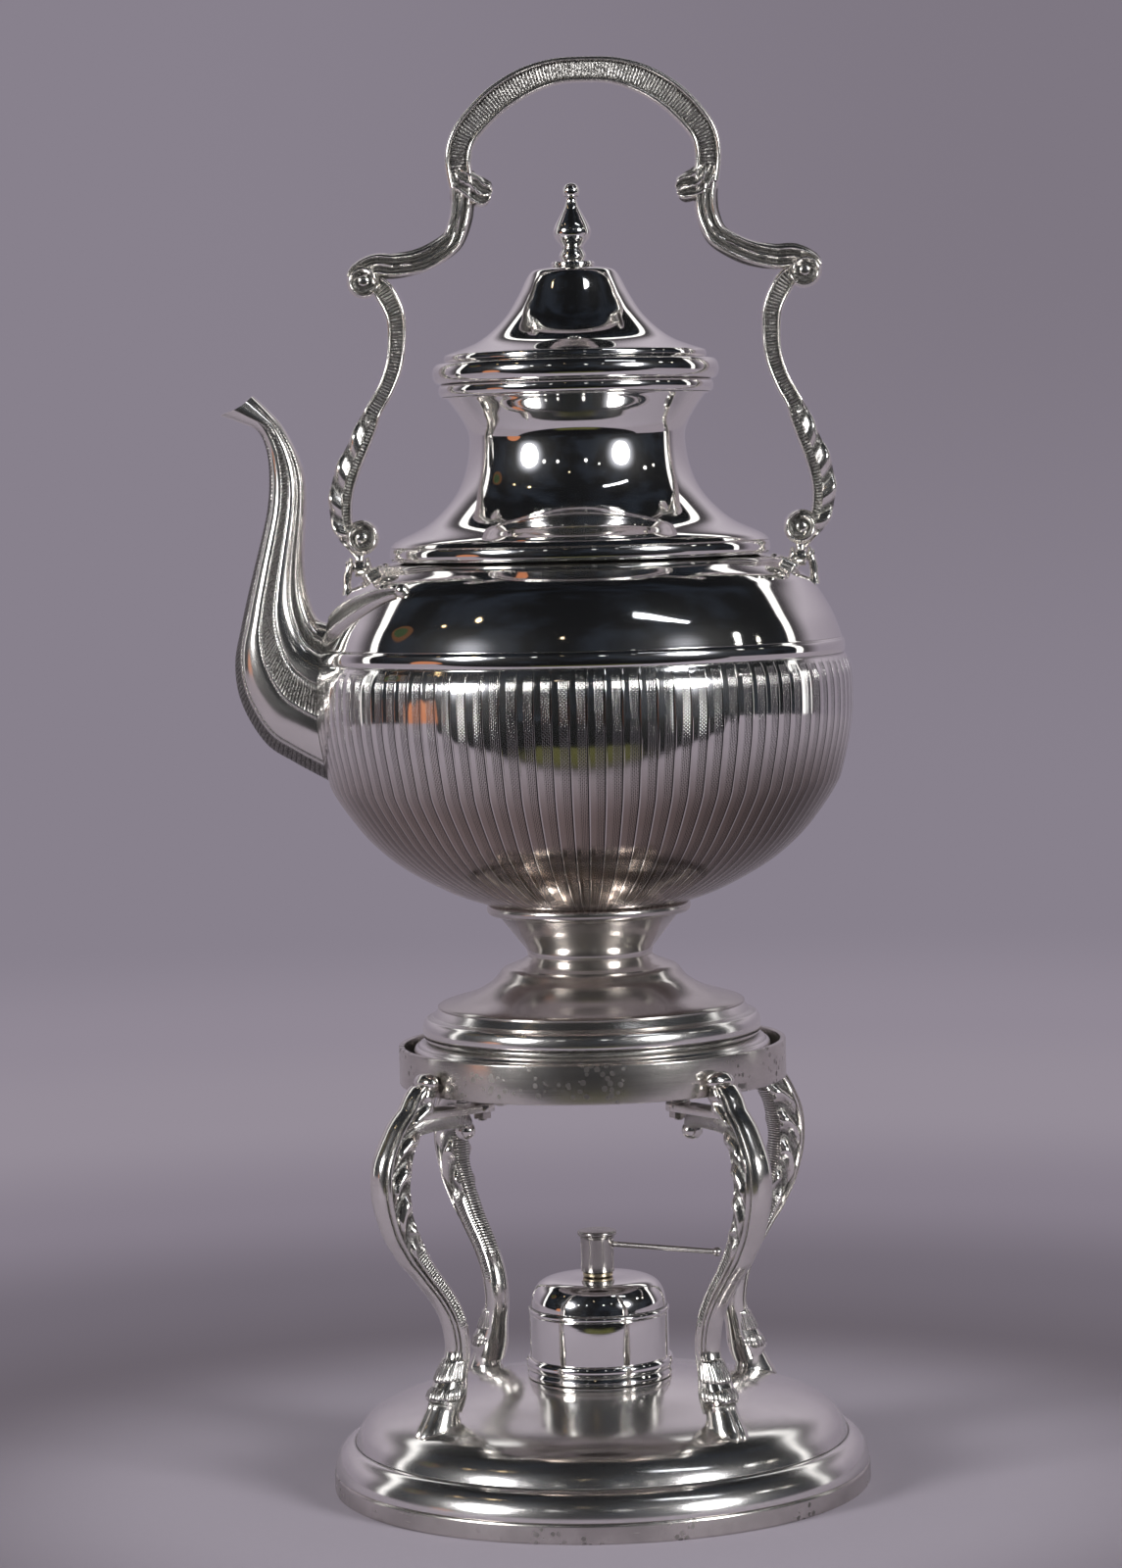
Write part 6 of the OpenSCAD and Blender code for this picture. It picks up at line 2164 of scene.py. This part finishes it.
        # Distance inside the paper's edge, whose corners are round and whose middle is higher
        top_edge = t.times_add(t.step(side, 152.0, 180.0), 9.0, self.PAPER_TOP)
        from_side = t.math("SUBTRACT", self.PAPER_CORNER + self.PAPER_SIDE, side)
        out_side = t.math("MAXIMUM", from_side, 0.0)
        from_top = t.math("SUBTRACT", t.math("ADD", up, self.PAPER_CORNER), top_edge)
        out_top = t.math("MAXIMUM", from_top, 0.0)
        corner = t.math("ADD", t.math("POWER", out_side, 2.0), t.math("POWER", out_top, 2.0))
        inside = t.math("SUBTRACT", self.PAPER_CORNER, t.math("SQRT", corner))
        paper = t.mix(t.step(up, 0.0, 34.0), linear(146, 138, 150), linear(196, 188, 198))
        paper = t.mix(t.step(inside, 22.0, 8.0), paper, linear(70, 66, 70))
        bright = t.times(t.step(inside, 1.0, 1.8), t.step(inside, 7.0, 5.6))
        paper = t.mix(bright, paper, (1.5, 1.5, 1.5, 1))
        clouds = t.node("TexNoise", {"Vector": way, "Scale": 3.0, "Detail": 3.0}).outputs["Fac"]
        dark = t.mix(t.step(clouds, 0.42, 0.68), (0.0045, 0.005, 0.006, 1), (0.014, 0.018, 0.026, 1))
        for where, size, colour in self.LIGHTS:
            dark = self.spot(t, way, dark, where, (size, size * 0.7), colour)
        start, end = np.array(self.direction(29, 55)), np.array(self.direction(61, 41))
        normal, middle = unit(np.cross(start, end)), unit(start + end)
        off = t.dot(way, tuple(normal))
        on = t.dot(way, tuple(middle))
        strip = t.times(t.step(t.math("ABSOLUTE", off), 0.027, 0.02), t.step(on, 0.982, 0.985))
        dark = t.mix(strip, dark, (5.0, 5.2, 5.6, 1))
        for where, size, colour in self.PATCHES:
            dark = self.spot(t, way, dark, where, (size, size * 0.85), colour)
        for lamp in self.LAMPS:
            near = t.dot(way, self.direction(lamp.azimuth, lamp.elevation))
            angle = t.math("DEGREES", t.math("ARCCOSINE", near))
            halo = t.math("POWER", t.step(angle, 22.0, 7.0), 3.0)
            dark = t.mix(halo, dark, (0.9, 0.93, 1.05, 1))
            dark = t.mix(t.step(angle, 10.0, 6.5), dark, (26.0, 26.0, 26.0, 1))
        room = t.mix(t.step(inside, 0.0, 1.0), dark, paper)
        # Painted shade on the camera's backdrop: slightly darker higher up, and darker on the right side.
        left = t.mix(t.step(up, 6.0, 13.0), self.paper, linear(132, 126, 138))
        right = t.times(t.step(xyz[0], -0.1, 0.12), t.step(up, -4.6, 3.0))
        camera_tone_painted_shade = t.mix(right, left, linear(126, 119, 130))
        colour = t.mix(t.node("LightPath").outputs["Is Camera Ray"], room, camera_tone_painted_shade)
        world.node_tree.links.new(colour, world.node_tree.nodes["Background"].inputs["Color"])

    def spot(
        self,
        t: Tree,
        way: Socket,
        behind: Socket,
        where: tuple[float, float],
        size: tuple[float, float],
        colour: tuple[float, float, float, float],
    ) -> Socket:
        """A round spot on the world: a step of the cosine of the angle from its middle.

        Args:
            t: The world's node tree.
            way: Direction of view.
            behind: Colour of what it lies on.
            where: Azimuth and elevation of its middle in degrees.
            size: Angles from its middle at which it starts and is full, in degrees.
            colour: Its colour.

        Returns:
            The colour with the spot on it.
        """
        near = t.dot(way, self.direction(*where))
        low, high = (math.cos(math.radians(angle)) for angle in size)
        return t.mix(t.step(near, low, high), behind, colour)

    @staticmethod
    def direction(azimuth: float, elevation: float) -> tuple[float, float, float]:
        """Unit vector from azimuth, 0 towards the camera and positive to the right, and height."""
        a, e = math.radians(azimuth), math.radians(elevation)
        return (math.sin(a) * math.cos(e), -math.cos(a) * math.cos(e), math.sin(e))

    def lamps(self) -> None:
        """Two soft lamps in front and a wide dim one overhead."""
        for index, lamp in enumerate(self.LAMPS):
            light = bpy.data.lights.new(f"soft_lamp_{index}", "AREA")
            light.shape, light.size, light.size_y = "ELLIPSE", *lamp.size
            light.energy = lamp.watts
            obj = bpy.data.objects.new(light.name, light)
            x, y, _ = self.direction(lamp.azimuth, 0)
            at = np.array([x * lamp.distance, y * lamp.distance, lamp.height])
            back = unit(at - [0, 0, 0.25])
            right = unit(np.cross([0, 0, 1], back))
            turn = np.column_stack([right, np.cross(back, right), back])
            obj.matrix_world = Matrix.Translation(at) @ Matrix(turn.tolist()).to_4x4()
            obj.visible_camera = obj.visible_glossy = False
            bpy.context.collection.objects.link(obj)
        light = bpy.data.lights.new("wide_fill", "AREA")
        light.shape, light.size, light.size_y, light.energy = "RECTANGLE", 2.4, 1.6, 9.0
        obj = bpy.data.objects.new("wide_fill", light)
        obj.location = (0, 0.2, 2.2)
        obj.visible_camera = obj.visible_glossy = False
        bpy.context.collection.objects.link(obj)

    def camera(self) -> None:
        """Camera at the photograph's place, which looks a little down and is rolled a little."""
        camera = bpy.data.cameras.new("camera")
        camera.sensor_width, camera.lens = 36.0, self.CAMERA_LENS
        camera.clip_start, camera.clip_end = 0.05, 50.0
        obj = bpy.data.objects.new("camera", camera)
        pitch = Matrix.Rotation(math.radians(90 - self.CAMERA_PITCH), 4, "X")
        roll = Matrix.Rotation(math.radians(-self.CAMERA_ROLL), 4, "Z")
        obj.matrix_world = Matrix.Translation(self.CAMERA_PLACE) @ pitch @ roll
        bpy.context.collection.objects.link(obj)
        bpy.context.scene.camera = obj

    def build(self) -> None:
        """Makes the studio."""
        self.floor()
        self.room()
        self.lamps()
        self.camera()
        bpy.context.scene.view_settings.view_transform = "Standard"


# Carried-over nodes


def refinish(frame: dict, finishes: Finishes) -> None:
    """Gives each CAD node that stays shown its detailed material.

    Args:
        finishes: The materials.
    """
    kept = {
        "base_plate": finishes.mirror,
        "burner_seat": finishes.mirror,
        "hoof_screws": finishes.brass,
        "ring_screws": finishes.satin,
        "ring_nuts": finishes.satin,
        "hinge_pin_left": finishes.old,
        "hinge_pin_right": finishes.old,
        "lid_bezel": finishes.mirror,
        "finial_nut": finishes.brass,
        "wick": finishes.wick,
    }
    for name, material in kept.items():
        obj = frame["nodes"][name]
        for place in obj.material_slots:
            place.material = material
        if not obj.material_slots:
            obj.data.materials.append(material)
        LOG.info("%s keeps its CAD shape", name)


def main() -> None:
    """Builds the scene."""
    logging.basicConfig(level=logging.INFO, format="%(name)s: %(message)s")
    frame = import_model()
    finishes = Finishes()
    Stand(StandSize(), finishes).build()
    kettle = Kettle(KettleSize(), finishes)
    kettle.build()
    Spout(SpoutSize(), kettle, finishes).build()
    Lid(LidSize(), finishes).build()
    Handle(HandleSize(), finishes).build()
    Burner(BurnerSize(), finishes).build()
    refinish(frame, finishes)
    Studio().build()


if __name__ == "__main__":
    main()
